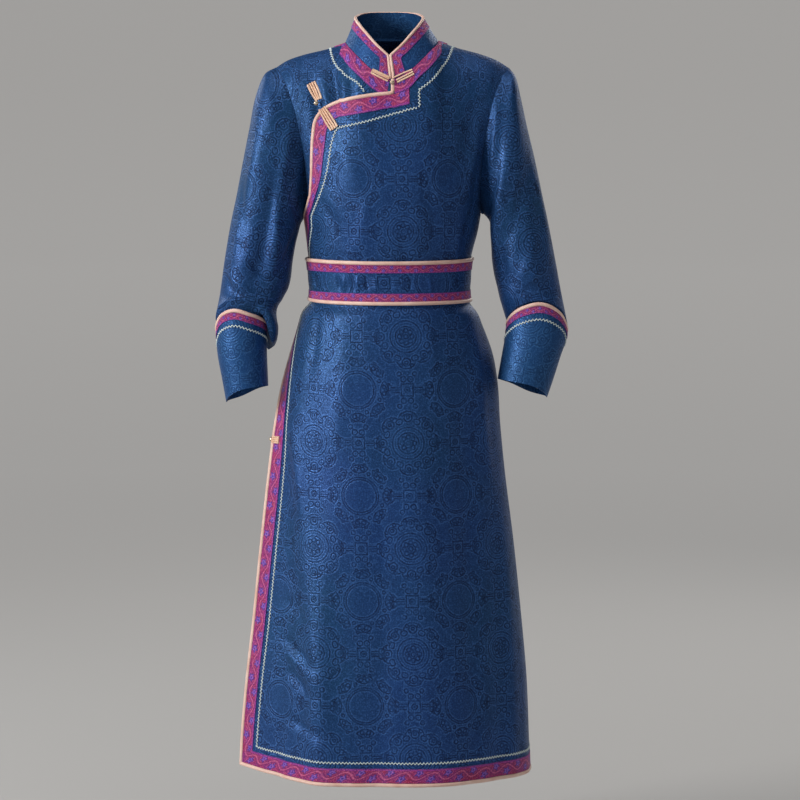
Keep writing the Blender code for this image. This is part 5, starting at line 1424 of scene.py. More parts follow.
def sleeve(hand):
    """The surface of one sleeve. r runs up, from its lower end below 0 to the armhole at 0."""
    def surface(way, r):
        angle = -hand * way * 360.0
        places, rings = sleeve_rings(hand, angle)
        slopes = calm_slopes(rings, places)
        place = np.clip(-r, 0.0, places[-1])
        first = np.clip(np.searchsorted(places, place, side="right") - 1, 0, len(places) - 2)
        step = (places[first + 1] - places[first])[..., None]
        t = (place - places[first])[..., None] / step

        def pick(values, index):
            return np.take_along_axis(values, index[None, ..., None], axis=0)[0]

        point = hermite(t, step, pick(rings, first), pick(slopes, first), pick(rings, first + 1),
                        pick(slopes, first + 1))
        turn = np.radians(angle)
        out = stack(hand * np.cos(turn), -np.sin(turn), 0.0)
        return point + out * roll_height(hand, angle, place)[..., None]
    return surface


# %% Creases of the sleeves, across from the front of the arm and down from the armhole
SLEEVE_CREASES = {
    -1: chart(
        Crease,
        (-0.002, -0.060, 0.034, -0.370, 0.010, 0.0060, -0.006),
        (0.000, -0.140, 0.010, -0.410, 0.017, -0.0100, 0.000),
        (-0.052, -0.110, -0.040, -0.370, 0.012, 0.0036, 0.000),
        (0.030, -0.030, 0.062, -0.240, 0.012, -0.0050, 0.006),
        (-0.070, -0.200, -0.030, -0.330, 0.008, -0.0030, 0.006),
        (-0.050, -0.350, 0.034, -0.392, 0.008, 0.0042, -0.010),
        (-0.046, -0.372, 0.034, -0.416, 0.007, -0.0050, -0.010),
        (0.075, -0.250, 0.022, -0.370, 0.008, -0.0036, 0.008),
        (-0.020, -0.330, 0.040, -0.350, 0.007, -0.0034, -0.004),
        (0.130, -0.120, 0.100, -0.330, 0.012, -0.0040, 0.008),
        (0.160, -0.080, 0.150, -0.300, 0.012, 0.0040, 0.008),
    ),
    1: chart(
        Crease,
        (0.010, -0.040, -0.030, -0.180, 0.007, 0.0044, 0.004),
        (0.038, -0.180, -0.042, -0.315, 0.015, -0.0068, 0.004),
        (0.020, -0.120, -0.034, -0.240, 0.012, 0.0036, 0.004),
        (0.030, -0.280, -0.020, -0.370, 0.009, 0.0030, 0.004),
        (0.022, -0.345, -0.022, -0.382, 0.006, 0.0034, 0.002),
        (0.008, -0.360, -0.040, -0.395, 0.006, -0.0030, 0.002),
        (-0.040, -0.200, -0.050, -0.380, 0.010, -0.0034, 0.004),
        (0.060, -0.160, 0.050, -0.340, 0.012, 0.0030, 0.006),
        (-0.100, -0.120, -0.100, -0.330, 0.012, -0.0040, 0.008),
        (-0.150, -0.080, -0.170, -0.300, 0.012, 0.0040, 0.008),
        (-0.205, -0.140, -0.200, -0.340, 0.012, -0.0040, 0.008),
    ),
}
ROUND_THE_ARM = np.linspace(-0.02, 1.02, 209)
ALLOWANCE = 0.004       # how far the sleeve's edge runs on under the panels at the armhole
ALLOWANCE_DROP = 0.0030

# %% Sleeves and cuffs
sides = {-1: "right", 1: "left"}
cuffs = {}
ways = np.linspace(0.0, 1.0, 89)
for hand, side in sides.items():
    front_way = 0.25 if hand < 0 else 0.75
    arm = Cloth(sleeve(hand), ROUND_THE_ARM, np.linspace(-SLEEVE_END, 0.0, 300), SLEEVE_CREASES[hand],
                zero=front_way, tube=True, calm=(-0.92, -0.84))
    outside, inside, flat = wall(arm, *np.meshgrid(ways, np.linspace(-SLEEVE_END, 0.0, 180)))
    middle = outside[-1].mean(axis=0)
    tuck = unit(middle - outside[-1:]) * ALLOWANCE_DROP + np.array([-hand * ALLOWANCE, 0.0, 0.0])
    outside, inside = np.vstack([outside, outside[-1:] + tuck]), np.vstack([inside, inside[-1:] + tuck])
    tube = shell(outside, inside, np.vstack([flat, flat[-1:] + 0.005]), closed=True)
    sleeve_piece = dress(side + "_sleeve", "brocade", tube, brocade, "brocade")
    cuffs[hand] = Cloth(cuff(hand), ROUND_THE_ARM, np.linspace(0.0, 1.0, 61), zero=front_way, tube=True)
    u, r = np.meshgrid(ways, np.linspace(0.0, 1.0, 31))
    panel(side + "_cuff", cuffs[hand], u, r, cuff_brocade, slot="cuff_brocade", closed=True)
    print(side, "sleeve:", len(sleeve_piece.data.polygons), "faces")

# %% [markdown]
# ## Collar
# The collar stands on the neckline in two halves that meet at the middle of the front and the
# back. Each half is a strip between the neckline and its own top edge, which leans in a little.

# %% Collar halves
Collar = namedtuple("Collar", "way top_x top_y top_z")
COLLAR = chart(
    Collar,
    (0.000, 0.0000, -0.0640, -0.0075),
    (0.143, 0.0200, -0.0600, 0.0110),
    (0.286, 0.0370, -0.0480, 0.0300),
    (0.405, 0.0500, -0.0290, 0.0450),
    (0.500, 0.0570, -0.0020, 0.0560),
    (0.595, 0.0500, 0.0270, 0.0615),
    (0.714, 0.0370, 0.0450, 0.0640),
    (0.857, 0.0200, 0.0540, 0.0650),
    (1.000, 0.0000, 0.0570, 0.0650),
)
COLLAR_LEAN = -0.001
COLLAR_GAP = 0.0014
COLLAR_END = 0.004
COLLAR_HEIGHT = 0.047
COLLAR_LENGTH = 0.190
COLLAR_CLOTH = 0.0016
COLLAR_TUCK = (0.0, 0.0, -0.0035)       # its lower edge runs on down behind the neckline
COLLAR_TUCK_IN = 0.0012


def collar_way(hand, way):
    """The same place on either half: the right one counts from the back to the front."""
    return 1 - way if hand < 0 else way


def collar(hand):
    """The surface of one half of the collar, from its seam (0) to its top edge (1)."""
    def surface(way, share):
        way = np.clip(collar_way(hand, way), 0.0, 1.0)
        u = hand * NECK_CORNER * (1 - np.abs(1 - 2 * way))
        base = np.where((way < 0.5)[..., None], bodice(-1, u, 1.0), bodice(1, u, 1.0))
        base = base + np.array([0.0, 0.0, COLLAR_GAP])
        top = stack(hand * smooth(COLLAR, "top_x", way) + COLLAR_LEAN, smooth(COLLAR, "top_y", way),
                    smooth(COLLAR, "top_z", way))
        return base * (1 - share[..., None]) + top * share[..., None]
    return surface


collars = {}
for hand, side in sides.items():
    collars[hand] = Cloth(collar(hand), np.linspace(0.0, 1.0, 201), np.linspace(0.0, 1.0, 41),
                          zero=collar_way(hand, 0.0))
    u = np.linspace(0.0 if hand < 0 else COLLAR_END, 1 - (COLLAR_END if hand < 0 else 0.0), 90)
    u, r = np.meshgrid(u, np.linspace(0.0, 1.0, 22))
    outside, inside, flat = wall(collars[hand], u, r, COLLAR_CLOTH)
    tuck = np.array([COLLAR_TUCK]) - collars[hand].outs(u[:1], r[:1]) * COLLAR_TUCK_IN
    outside, inside = np.vstack([outside[:1] + tuck, outside]), np.vstack([inside[:1] + tuck, inside])
    half = shell(outside, inside, np.vstack([flat[:1] - 0.003, flat]))
    dress(side + "_collar", "brocade", half, cuff_brocade, "brocade")
    print(side, "half of the collar:", round(float(np.ptp(flat[0, :, 0])), 3), "m along its seam")

# %% [markdown]
# ## Edges: band, piping and braid
# A woven band is sewn flat inside every edge, a satin piping rolls over the edge itself, and a
# zigzag braid runs beside the band. The band is a strip between two lines on the cloth. The piping
# and the braid are profiles swept along one line: a profile is a few points, each a distance
# across and a height above the cloth, joined into a ring that is drawn along the line.

# %% Trim sizes
BAND = 0.0009
BAND_WIDTH = 0.0245
PIPING_WIDTH = 0.0055
TRIM_GAP = 0.0004
TRIM_LIFT = 0.0002      # a band stands this clear of its panel
BAND_LINES = 5          # lines of points across a band
BRAID_IN = 0.0395       # middle of the braid, from the edge of the cloth
STEP = 0.004            # distance between the sections of a band or piping
Profile = namedtuple("Profile", "across height")
PIPING_PROFILE = chart(     # across from the free edge, height above the cloth
    Profile, (0.0001, -0.0022), (-0.0006, -0.0019), (-0.0010, -0.0008), (-0.0008, 0.0006), (-0.0001, 0.0016),
    (0.0011, 0.0023), (0.0026, 0.0025), (0.0040, 0.0021), (0.0050, 0.0013), (0.0055, 0.0002), (0.0028, 0.0001),
    (0.0002, 0.0001),
)


def evenly(points, step):
    """Places along a line of points, as fractional row numbers, that lie a step apart."""
    length = run(points)
    count = max(4, int(round(length[-1] / step)) + 1)
    return np.interp(np.linspace(0.0, length[-1], count), length, np.arange(len(length)))


def rows_of(line, at):
    first = np.clip(at.astype(int), 0, len(line) - 2)
    share = (at - first)[:, None]
    return line[first] * (1 - share) + line[first + 1] * share


def even_lines(cloth, lines, step):
    """Several lines of u and r, one beside the other, cut at the same places a step apart."""
    lines = [np.asarray(line, float) for line in lines]
    at = evenly(cloth.at(*lines[0].T), step)
    return [rows_of(line, at) for line in lines]


def band_strip(solid, cloth, near, far, closed=False, lift=TRIM_LIFT):
    """A flat woven band between two lines. Its UV map counts in widths of the band."""
    near, far = even_lines(cloth, (near, far), STEP)
    share = np.linspace(0.0, 1.0, BAND_LINES)[:, None, None]
    uv = near[None] * (1 - share) + far[None] * share
    points = cloth.at(uv[..., 0], uv[..., 1], lift)
    out = cloth.outs(uv[..., 0], uv[..., 1])
    middle = (points[0] + points[-1]) / 2
    along = run(middle)
    width = np.linalg.norm(points[-1] - points[0], axis=-1).mean()
    flat = np.stack(np.broadcast_arrays(along / width, share[..., 0]), axis=-1)
    return dress(solid, "woven", shell(points + out * BAND, points, flat, closed), band_weave, "band")


def swept(points, out, profile, closed=False, wave=None):
    """A profile drawn along a line of points. out is the way up from the cloth at each point."""
    along = np.gradient(points, axis=0)
    if closed:
        along[0] = along[-1] = points[1] - points[-2]
    along = unit(along)
    aside = unit(np.cross(out, along))
    ring = np.array([*profile, profile[0]])
    across = ring[:, 0][:, None] + (0.0 if wave is None else wave[None, :])
    grid = points[None] + aside[None] * across[..., None] + out[None] * ring[:, 1][:, None, None]
    mesh, _ = grid_mesh(grid, np.stack(np.meshgrid(run(points), run(ring)), axis=-1))
    bmesh.ops.remove_doubles(mesh, verts=mesh.verts, dist=1e-6)
    if not closed:
        ends = [edge for edge in mesh.edges if edge.is_boundary]
        bmesh.ops.holes_fill(mesh, edges=ends, sides=0)
    return smoothed(mesh)


def piping_roll(solid, cloth, line, closed=False, profile=PIPING_PROFILE):
    """A satin piping rolled over the edge that a line of u and r follows, the cloth on its left."""
    line, = even_lines(cloth, [line], STEP / 2)
    mesh = swept(cloth.at(*line.T), cloth.outs(*line.T), profile, closed)
    return dress(solid, "satin", mesh, satin, "piping")


# %% Zigzag braid
ZIGZAG_PITCH = 0.0060
ZIGZAG_SWING = 0.0014
BRAID_PROFILE = chart(Profile, (-0.0011, 0.0002), (-0.0010, 0.0009), (0.0, 0.0013), (0.0010, 0.0009), (0.0011, 0.0002))


def braid_zigzag(solid, cloth, line, closed=False):
    """A narrow braid that swings from side to side along a line."""
    line, = even_lines(cloth, [line], ZIGZAG_PITCH / 8)
    points, out = cloth.at(*line.T), cloth.outs(*line.T)
    turns = round((len(points) - 1) / 8)
    phase = np.linspace(0.0, turns * 2 * np.pi, len(points))
    swing = ZIGZAG_SWING * np.arcsin(0.96 * np.sin(phase)) / np.arcsin(0.96)
    mesh = swept(points, out, BRAID_PROFILE, closed, wave=swing)
    return dress(solid, "zigzag", mesh, zigzag, "braid")


# %% Lines of the flap's trims
def from_edge(cloth, r, distance):
    """u at a distance in from the free edge of the flap, along each row r."""
    samples = np.linspace(-1.0, -0.3, 160)
    points = cloth.at(*np.meshgrid(samples, r))
    length = np.cumsum(np.linalg.norm(np.diff(points, axis=1), axis=2), axis=1)
    length = np.hstack([np.zeros((len(r), 1)), length])
    return np.array([np.interp(distance, row, samples) for row in length])


SIDE_ROWS = np.concatenate([np.linspace(-0.020, -0.880, 240), np.linspace(-0.884, HEM - ARMPIT + 0.006, 34)])


def flap_line(lap, inset):
    """A line across the chest, down the side and round the hem, at an inset from the edge."""
    corner_r = HEM - ARMPIT + HEM_RISE + inset
    rows = SIDE_ROWS[SIDE_ROWS > HEM - ARMPIT + 0.040]
    side_r = np.maximum(rows + (1 - fade(rows, HEM - ARMPIT, HEM - ARMPIT + 0.20)) * HEM_RISE, corner_r)
    side = np.stack([from_edge(outer, side_r, inset), side_r], axis=-1)
    corner_u = from_edge(outer, np.array([corner_r]), inset)[0]
    hem_u = np.linspace(corner_u, 1.0 - SEAM, 240)
    hem = np.stack([hem_u, HEM - ARMPIT + hem_rise(hem_u) + inset], axis=-1)
    return np.vstack([lap, side, hem])


near_in = PIPING_WIDTH + TRIM_GAP
far_in = near_in + BAND_WIDTH
toward = band_line - edge_line
reach = np.linalg.norm(outer.at(*band_line.T) - outer.at(*edge_line.T), axis=-1)
END_COUNT = 8           # points of each line before the flap's own edge begins
near_lap = np.vstack([chalk_line(LAP_END, "near", END_COUNT), edge_line + toward * (near_in / reach)[:, None]])
far_lap = np.vstack([chalk_line(LAP_END, "far", END_COUNT), band_line])
braid_lap = np.vstack([chalk_line(LAP_END, "braid", END_COUNT), braid_line])

# the piping comes down from the neck's seam a little beside the edge's end, then turns into the edge
LAP_BESIDE, LAP_ABOVE, LAP_SEAM = 0.003, 0.012, 0.9995
neck_u, neck_r = edge_line[0][0] + LAP_BESIDE, np.linspace(LAP_SEAM, edge_line[0][1] + LAP_ABOVE, END_COUNT)
turn_in = bezier(np.array([neck_u, neck_r[-1]]), np.array([neck_u, edge_line[0][1]]), edge_line[0], edge_line[0],
                 np.linspace(0.15, 0.85, 6)[:, None])
piping_lap = np.vstack([np.stack([np.full(END_COUNT, neck_u), neck_r], axis=-1), turn_in, edge_line[1:]])


def eased(line, count, reach=9):
    """A line of u and r with the join after its first count points smoothed over."""
    line = line.copy()
    for _ in range(60):
        part = slice(count - reach, count + reach)
        line[part] = (line[count - reach - 1:count + reach - 1] + line[count - reach + 1:count + reach + 1]) / 2
    return line


# %% Trims of the flap and the hem
flap_parts = [
    band_strip("flap_band", outer, flap_line(near_lap, near_in), eased(flap_line(far_lap, far_in), len(far_lap), 14)),
    piping_roll("flap_piping", outer, flap_line(piping_lap, 0.0)),
    braid_zigzag("flap_braid", outer, eased(flap_line(braid_lap, BRAID_IN), len(braid_lap), 18)),
]
print("flap trims:", [len(piece.data.polygons) for piece in flap_parts], "faces")


def hem_line(inset):
    u = np.linspace(-1.0 + SEAM, 1.0 - SEAM, 240)
    return np.stack([u, np.full(len(u), HEM - ARMPIT + inset)], axis=-1)


band_strip("back_hem_band", rear, hem_line(near_in), hem_line(far_in))
piping_roll("back_hem_piping", rear, hem_line(0.0))
braid_zigzag("back_hem_braid", rear, hem_line(BRAID_IN))
print("hem trims of the back, the braid", BRAID_IN * 1000, "mm above the edge")

# %% Trims of the cuffs
CUFF_BAND = 0.0115
CUFF_BRAID_IN = 0.0285


def cuff_line(hand, inset):
    way = np.linspace(0.0, 1.0, 181)
    angle = -hand * way * 360.0
    height = cuff_edge(hand, angle, "top") - cuff_edge(hand, angle, "bottom")
    return np.stack([way, 1 - inset / height], axis=-1)


for hand, side in sides.items():
    band_strip(side + "_cuff_band", cuffs[hand], cuff_line(hand, near_in), cuff_line(hand, near_in + CUFF_BAND), True)
    piping_roll(side + "_cuff_piping", cuffs[hand], cuff_line(hand, 0.0)[::-1], True)
    braid_zigzag(side + "_cuff_braid", cuffs[hand], cuff_line(hand, CUFF_BRAID_IN), True)
print("cuff trims:", CUFF_BAND * 1000, "mm band")

# %% [markdown]
# ## Edges of the collar and the neck
# Each collar half has its piping along the top and down its front end, with the band inside it.
# Below the collar's seam a second band follows the neckline, and a braid runs outside it: from the
# back over both shoulders, then down to the flap, where the left one turns a corner.

# %% Collar trims
COLLAR_BAND = 0.0120
COLLAR_BAND_IN = PIPING_WIDTH - 0.0008
CORNER_ROUND = 0.10     # share of the height over which the front corner turns
CORNER_START = 0.012    # and the share of the length
COLLAR_PIPING = [Profile(point.across * 0.74, point.height) for point in PIPING_PROFILE]


def collar_line(hand, inset):
    """Along the top from the back to the front, then down the front end, at an inset."""
    top = 1 - inset / COLLAR_HEIGHT
    end = COLLAR_END + inset / COLLAR_LENGTH
    along = np.linspace(1 - COLLAR_END, end + CORNER_START, 70)
    corner = bezier(np.array([end + CORNER_START, top]), np.array([end + 0.004, top]), np.array([end, top - 0.02]),
                    np.array([end, top - CORNER_ROUND]), np.linspace(0, 1, 9)[1:, None])
    down = np.linspace(top - CORNER_ROUND, 0.02, 24)[1:]
    line = np.vstack([np.stack([along, np.full(70, top)], axis=-1), corner,
                      np.stack([np.full(23, end), down], axis=-1)])
    line[:, 0] = collar_way(hand, line[:, 0])
    return line if hand > 0 else line[::-1]


for hand, side in sides.items():
    band_strip(side + "_collar_band", collars[hand], collar_line(hand, COLLAR_BAND_IN),
               collar_line(hand, PIPING_WIDTH + 0.0010 + COLLAR_BAND))
    piping_roll(side + "_collar_piping", collars[hand], collar_line(hand, 0.0), profile=COLLAR_PIPING)
print("collar trims:", COLLAR_BAND * 1000, "mm band")

# %% Neck trims
RIGHT_BAND = ((-0.0850, -0.0075), (-0.0703, -0.0248), (-0.0491, -0.0458), (-0.0306, -0.0625), (-0.0149, -0.0719),
              (0.0012, -0.0755))
LEFT_BAND = ((0.0088, -0.0725), (0.0325, -0.0626), (0.0483, -0.0458), (0.0695, -0.0262), (0.0845, -0.0080))
RIGHT_BRAID = ((-0.0995, -0.0050), (-0.0940, -0.0196), (-0.0755, -0.0406), (-0.0543, -0.0537), (-0.0425, -0.0680))
LEFT_BRAID = ((0.0496, -0.0653), (0.0720, -0.0483), (0.0850, -0.0327), (0.0984, -0.0144), (0.1045, -0.0010))
BRAID_CORNER = (0.0500, -0.0942)
BACK_COUNT = 120        # points of a line across the back
SHOULDER_END = 0.9985   # r where a line meets the shoulder seam
NECK_EDGE = 0.9965      # r of a band's edge along the neckline
NECK_LIFT = 0.0005      # the left neck band lies over the end of the flap's band
# on the back the lines are given as u and r
BACK_BAND = ((-0.490, 0.9985), (-0.475, 0.935), (-0.435, 0.900), (-0.370, 0.885), (-0.280, 0.880), (-0.140, 0.884),
             (0.000, 0.885), (0.140, 0.884), (0.280, 0.880), (0.380, 0.883), (0.450, 0.902), (0.500, 0.945),
             (0.520, 0.9985))
BACK_BRAID = ((-0.545, 0.9985), (-0.540, 0.930), (-0.500, 0.868), (-0.440, 0.835), (-0.360, 0.821), (-0.240, 0.822),
              (-0.120, 0.826), (0.000, 0.827), (0.120, 0.826), (0.240, 0.822), (0.360, 0.821), (0.440, 0.835),
              (0.510, 0.870), (0.550, 0.930), (0.555, 0.9985))


def neck_path(cloth, spots, seam_u):
    """A chalked line near the neck, given as x and z, that runs on to the shoulder seam."""
    x, z = through(spots, np.linspace(0.0, 1.0, 60)).T
    line = steady(np.stack(cloth.locate(x, z, np.clip(x / 0.15, -0.6, 0.6), np.full(60, 0.85)), axis=-1))
    at_seam = [[seam_u, SHOULDER_END]]
    return np.vstack([at_seam, line] if seam_u < 0 else [line, at_seam])


def find(cloth, spot, guess):
    """u and r of one spot that is given as x and z, from a first guess."""
    return cloth.locate(*(np.array([value]) for value in (*spot, *guess)))


def at_neck(first, last, count=61):
    """The neckline from one u to another, in as many points as the line beside it has."""
    return np.stack([np.linspace(first, last, count), np.full(count, NECK_EDGE)], axis=-1)


band_strip("neck_band_right", under, at_neck(-NECK_CORNER, 0.004), neck_path(under, RIGHT_BAND, -0.52))
band_strip("neck_band_left", outer, at_neck(0.004, NECK_CORNER), neck_path(outer, LEFT_BAND, 0.49), lift=NECK_LIFT)
band_strip("neck_band_back", rear, at_neck(-NECK_CORNER, NECK_CORNER, BACK_COUNT),
           through(BACK_BAND, np.linspace(0, 1, BACK_COUNT)))
braid_zigzag("neck_braid_right", under, neck_path(under, RIGHT_BRAID, -0.555))
corner, turn = (np.array(find(outer, spot, (0.25, 0.8))).T for spot in (BRAID_CORNER, LEFT_BRAID[0]))
upright = corner + (turn - corner) * np.linspace(0, 1, 12)[:-1, None]
braid_zigzag("neck_braid_left", outer, np.vstack([upright, neck_path(outer, LEFT_BRAID, 0.545)]))
braid_zigzag("neck_braid_back", rear, through(BACK_BRAID, np.linspace(0, 1, BACK_COUNT)))
print("neck trims: three bands and three braids, the left braid's corner at u", corner[0, 0].round(3))

# %% [markdown]
# ## Belt
# The belt is a wide stiff band pulled tight over everything below it, so it stands off the body by
# the thickness of what lies under it: most over the lapped edge at the wearer's right side. Its
# brocade puckers a little in front, between its two bands, where the waist pulls it.

# %% Belt
BELT_TOP = -0.3525
BELT_BOTTOM = -0.4285
BELT_CLOTH = 0.0018
BELT_BAND = 0.0150
BELT_PIPING = 0.0052
Lift = namedtuple("Lift", "way lift")
BELT_LIFT = chart(
    Lift, (-0.30, 0.0092), (-0.22, 0.0094), (0.00, 0.0094), (0.11, 0.0090), (0.18, 0.0078), (0.28, 0.0068),
    (0.60, 0.0071), (1.35, 0.0071), (1.55, 0.0063), (1.70, 0.0050), (1.85, 0.0040), (2.00, 0.0036), (3.60, 0.0036),
    (3.68, 0.0050), (3.76, 0.0090), (3.85, 0.0094), (4.00, 0.0094), (4.30, 0.0068),
)
# puckers of the belt: place along it, how far the lower end leans, and the height
Pucker = namedtuple("Pucker", "across lean size")
PUCKERS = chart(
    Pucker, (0.100, 0.004, -0.0007), (0.114, -0.003, 0.0006), (0.127, 0.003, -0.0008), (0.139, -0.002, 0.0007),
    (0.152, 0.004, -0.0006), (0.168, 0.002, 0.0006), (0.230, -0.004, -0.0006), (0.262, 0.003, 0.0006),
    (0.040, 0.003, -0.0006), (0.196, -0.002, -0.0005),
)
PUCKER_TOP, PUCKER_FOOT = -0.026, -0.052        # below the belt's upper edge, between the two bands
PUCKER_WIDE = 0.0038
PUCKER_DEPTH = 3.4      # how much deeper they are than the table says
BELT_CREASES = [Crease(one.across, PUCKER_TOP, one.across + one.lean, PUCKER_FOOT, PUCKER_WIDE,
                       one.size * PUCKER_DEPTH, 0.001) for one in PUCKERS]


def belt_shape(way, z):
    """The belt's way round: 0 to 2 over the front from the wearer's right, 2 to 4 over the back."""
    def waist(way, z):
        way = np.mod(way, 4.0)
        u = np.where(way <= 2.0, way - 1.0, 3.0 - way)
        return np.where((way <= 2.0)[..., None], body(-1, u, z - ARMPIT), body(1, u, z - ARMPIT))
    return raised(waist, way, z, smooth(BELT_LIFT, "lift", way))


belt = Cloth(belt_shape, np.linspace(-0.05, 4.05, 1231), np.linspace(BELT_BOTTOM, BELT_TOP, 39), BELT_CREASES,
             zero=0.0, level=BELT_TOP)
ways = np.linspace(0.0, 4.0, 721)
u, r = np.meshgrid(ways, np.linspace(BELT_BOTTOM, BELT_TOP, 24))
panel("belt", belt, u, r, brocade, thickness=BELT_CLOTH, closed=True)


def belt_line(z):
    return np.stack([ways, np.full(len(ways), z)], axis=-1)


BELT_BAND_IN = BELT_PIPING + TRIM_GAP
BELT_EDGES = (("upper", BELT_TOP, -1), ("lower", BELT_BOTTOM, 1))
for part, edge, inward in BELT_EDGES:
    near = edge + inward * BELT_BAND_IN
    band_strip("belt_band_" + part, belt, belt_line(near), belt_line(near + inward * BELT_BAND), closed=True)
for part, edge, inward in BELT_EDGES:
    piping_roll("belt_piping_" + part, belt, belt_line(edge)[::inward], closed=True)
print("belt round the waist:", round(float(np.ptp(belt.flat[0, :, 0])), 3), "m")

# %% [markdown]
# ## Frogs
# A frog fastens the flap: satin cords are laid side by side as a flat tab on each edge, and the
# loop of one passes over the knot of the other. Each cord is a rounded profile swept over the
# trims beneath it, so the tab climbs over the piping as real cords do.

# %% Cord tabs
Tab = namedtuple("Tab", "x z end_x end_z width end_width cords")
CHEST_UPPER = Tab(-0.1330, -0.0555, -0.1190, -0.0835, 0.0175, 0.0130, 4)
CHEST_LOWER = Tab(-0.0935, -0.1300, -0.1140, -0.0965, 0.0165, 0.0130, 4)
CHEST_KNOT = (-0.1166, -0.0885)
REACH = 0.02            # how far above and below a point the pieces under a cord are looked for
CORD_FILL = 0.98        # a cord fills this share of its place in the tab
CHEST_CORD_RISE = 0.0024


def heights_over(points, out, pieces):
    """How high the pieces stand above each point, along out."""
    trees = [BVHTree.FromPolygons([v.co for v in piece.data.vertices], [p.vertices for p in piece.data.polygons])
             for piece in pieces]
    high = np.zeros(points.shape[:-1])
    for spot in np.ndindex(high.shape):
        start = Vector(points[spot] + out[spot] * REACH)
        for tree in trees:
            hit = tree.ray_cast(start, -Vector(out[spot]), 2 * REACH)
            if hit[0] is not None:
                high[spot] = max(high[spot], REACH - hit[3])
    return high


def evened(values, reach=3):
    """Values without sudden steps: each is the mean of those within reach of it."""
    return np.convolve(np.pad(values, reach, mode="edge"), np.ones(2 * reach + 1) / (2 * reach + 1), mode="valid")


def cord_profile(half, rise):
    """A cord's section: flat under, round above, as points across and up."""
    turn = np.linspace(0.0, np.pi, 8)
    return [Profile(-half * np.cos(t), 0.0002 + rise * max(np.sin(t), 0.0) ** 0.8) for t in turn]


def join(solid, word, meshes, material, slot):
    """Several meshes as one piece."""
    whole = bmesh.new()
    for mesh in meshes:
        data = bpy.data.meshes.new("part")
        mesh.to_mesh(data)
        mesh.free()
        whole.from_mesh(data)
        bpy.data.meshes.remove(data)
    return dress(solid, word, whole, material, slot)


def cord_tab(solid, cloth, tab, pieces, samples=26):
    """Cords laid side by side from the tab's free end to its knot end, with rounded ends."""
    start, end = np.array([tab.x, tab.z]), np.array([tab.end_x, tab.end_z])
    line = end - start
    length = np.linalg.norm(line)
    side = np.array([line[1], -line[0]]) / length
    along = np.linspace(0.0, 1.0, samples)
    meshes = []
    for cord in range(tab.cords):
        share = (cord + 0.5) / tab.cords - 0.5
        width = tab.width + (tab.end_width - tab.width) * along
        bulge = 0.0016 * np.sin(np.pi * along) * np.sign(share) * abs(2 * share) ** 2
        early = 0.0014 * (1 - (2 * share) ** 2)
        spot = start - early * line / length + along[:, None] * line
        spot = spot + (share * width + bulge)[:, None] * side
        u, r = cloth.locate(spot[:, 0], spot[:, 1], np.clip(spot[:, 0] / 0.15, -0.9, 0.9),
                            np.clip((spot[:, 1] - ARMPIT) / 0.25, 0.1, 0.95))
        points, out = cloth.at(u, r), cloth.outs(u, r)
        high = heights_over(points, out, pieces)
        high = np.maximum(high, np.roll(high, 1)), np.maximum(high, np.roll(high, -1))
        points = points + out * evened(np.maximum(*high))[:, None]
        half = width.mean() / tab.cords / 2 * CORD_FILL
        meshes.append(swept(points, out, cord_profile(half, CHEST_CORD_RISE)))
    return join(solid, "cords", meshes, cord_satin, "frog")


cord_tab("chest_frog_upper", under, CHEST_UPPER, [])
cord_tab("chest_frog_lower", outer, CHEST_LOWER, flap_parts)

# %% Knots
def ring_cord(centre, axis, radius, thick, count=20):
    """A small ring of cord round an axis."""
    axis = Vector(axis).normalized()
    first = axis.orthogonal().normalized()
    second = axis.cross(first)
    turn = np.linspace(0.0, 2 * np.pi, count + 1)
    out = np.outer(np.cos(turn), first) + np.outer(np.sin(turn), second)
    profile = [Profile(thick * np.sin(t), thick * np.cos(t)) for t in np.linspace(0, 2 * np.pi, 7)[:-1]]
    return swept(np.array(centre) + out * radius, out, profile, closed=True)


def knot(solid, centre, way, size=0.0040):
    """A knot button: a core with three turns of cord wound over it."""
    way = Vector(way).normalized()
    side = way.orthogonal().normalized()
    core = bmesh.new()
    bmesh.ops.create_icosphere(core, subdivisions=2, radius=size * 0.86)
    bmesh.ops.translate(core, verts=core.verts, vec=Vector(centre))
    turns = [ring_cord(centre, axis, size * 0.86, size * 0.24)
             for axis in (side, way.cross(side) + side * 0.5, way.cross(side) - side * 0.5)]
    return join(solid, "ball", [core] + turns, brass, "knot")


CHEST_KNOT_HEIGHT = 0.0098      # the middle of a knot above the cloth
u, r = find(under, CHEST_KNOT, (-0.75, 0.8))
out = under.outs(u, r)[0]
knot("chest_frog_knot", under.at(u, r)[0] + out * CHEST_KNOT_HEIGHT, out)
print("chest frog:", CHEST_UPPER.cords + CHEST_LOWER.cords, "cords and a knot")

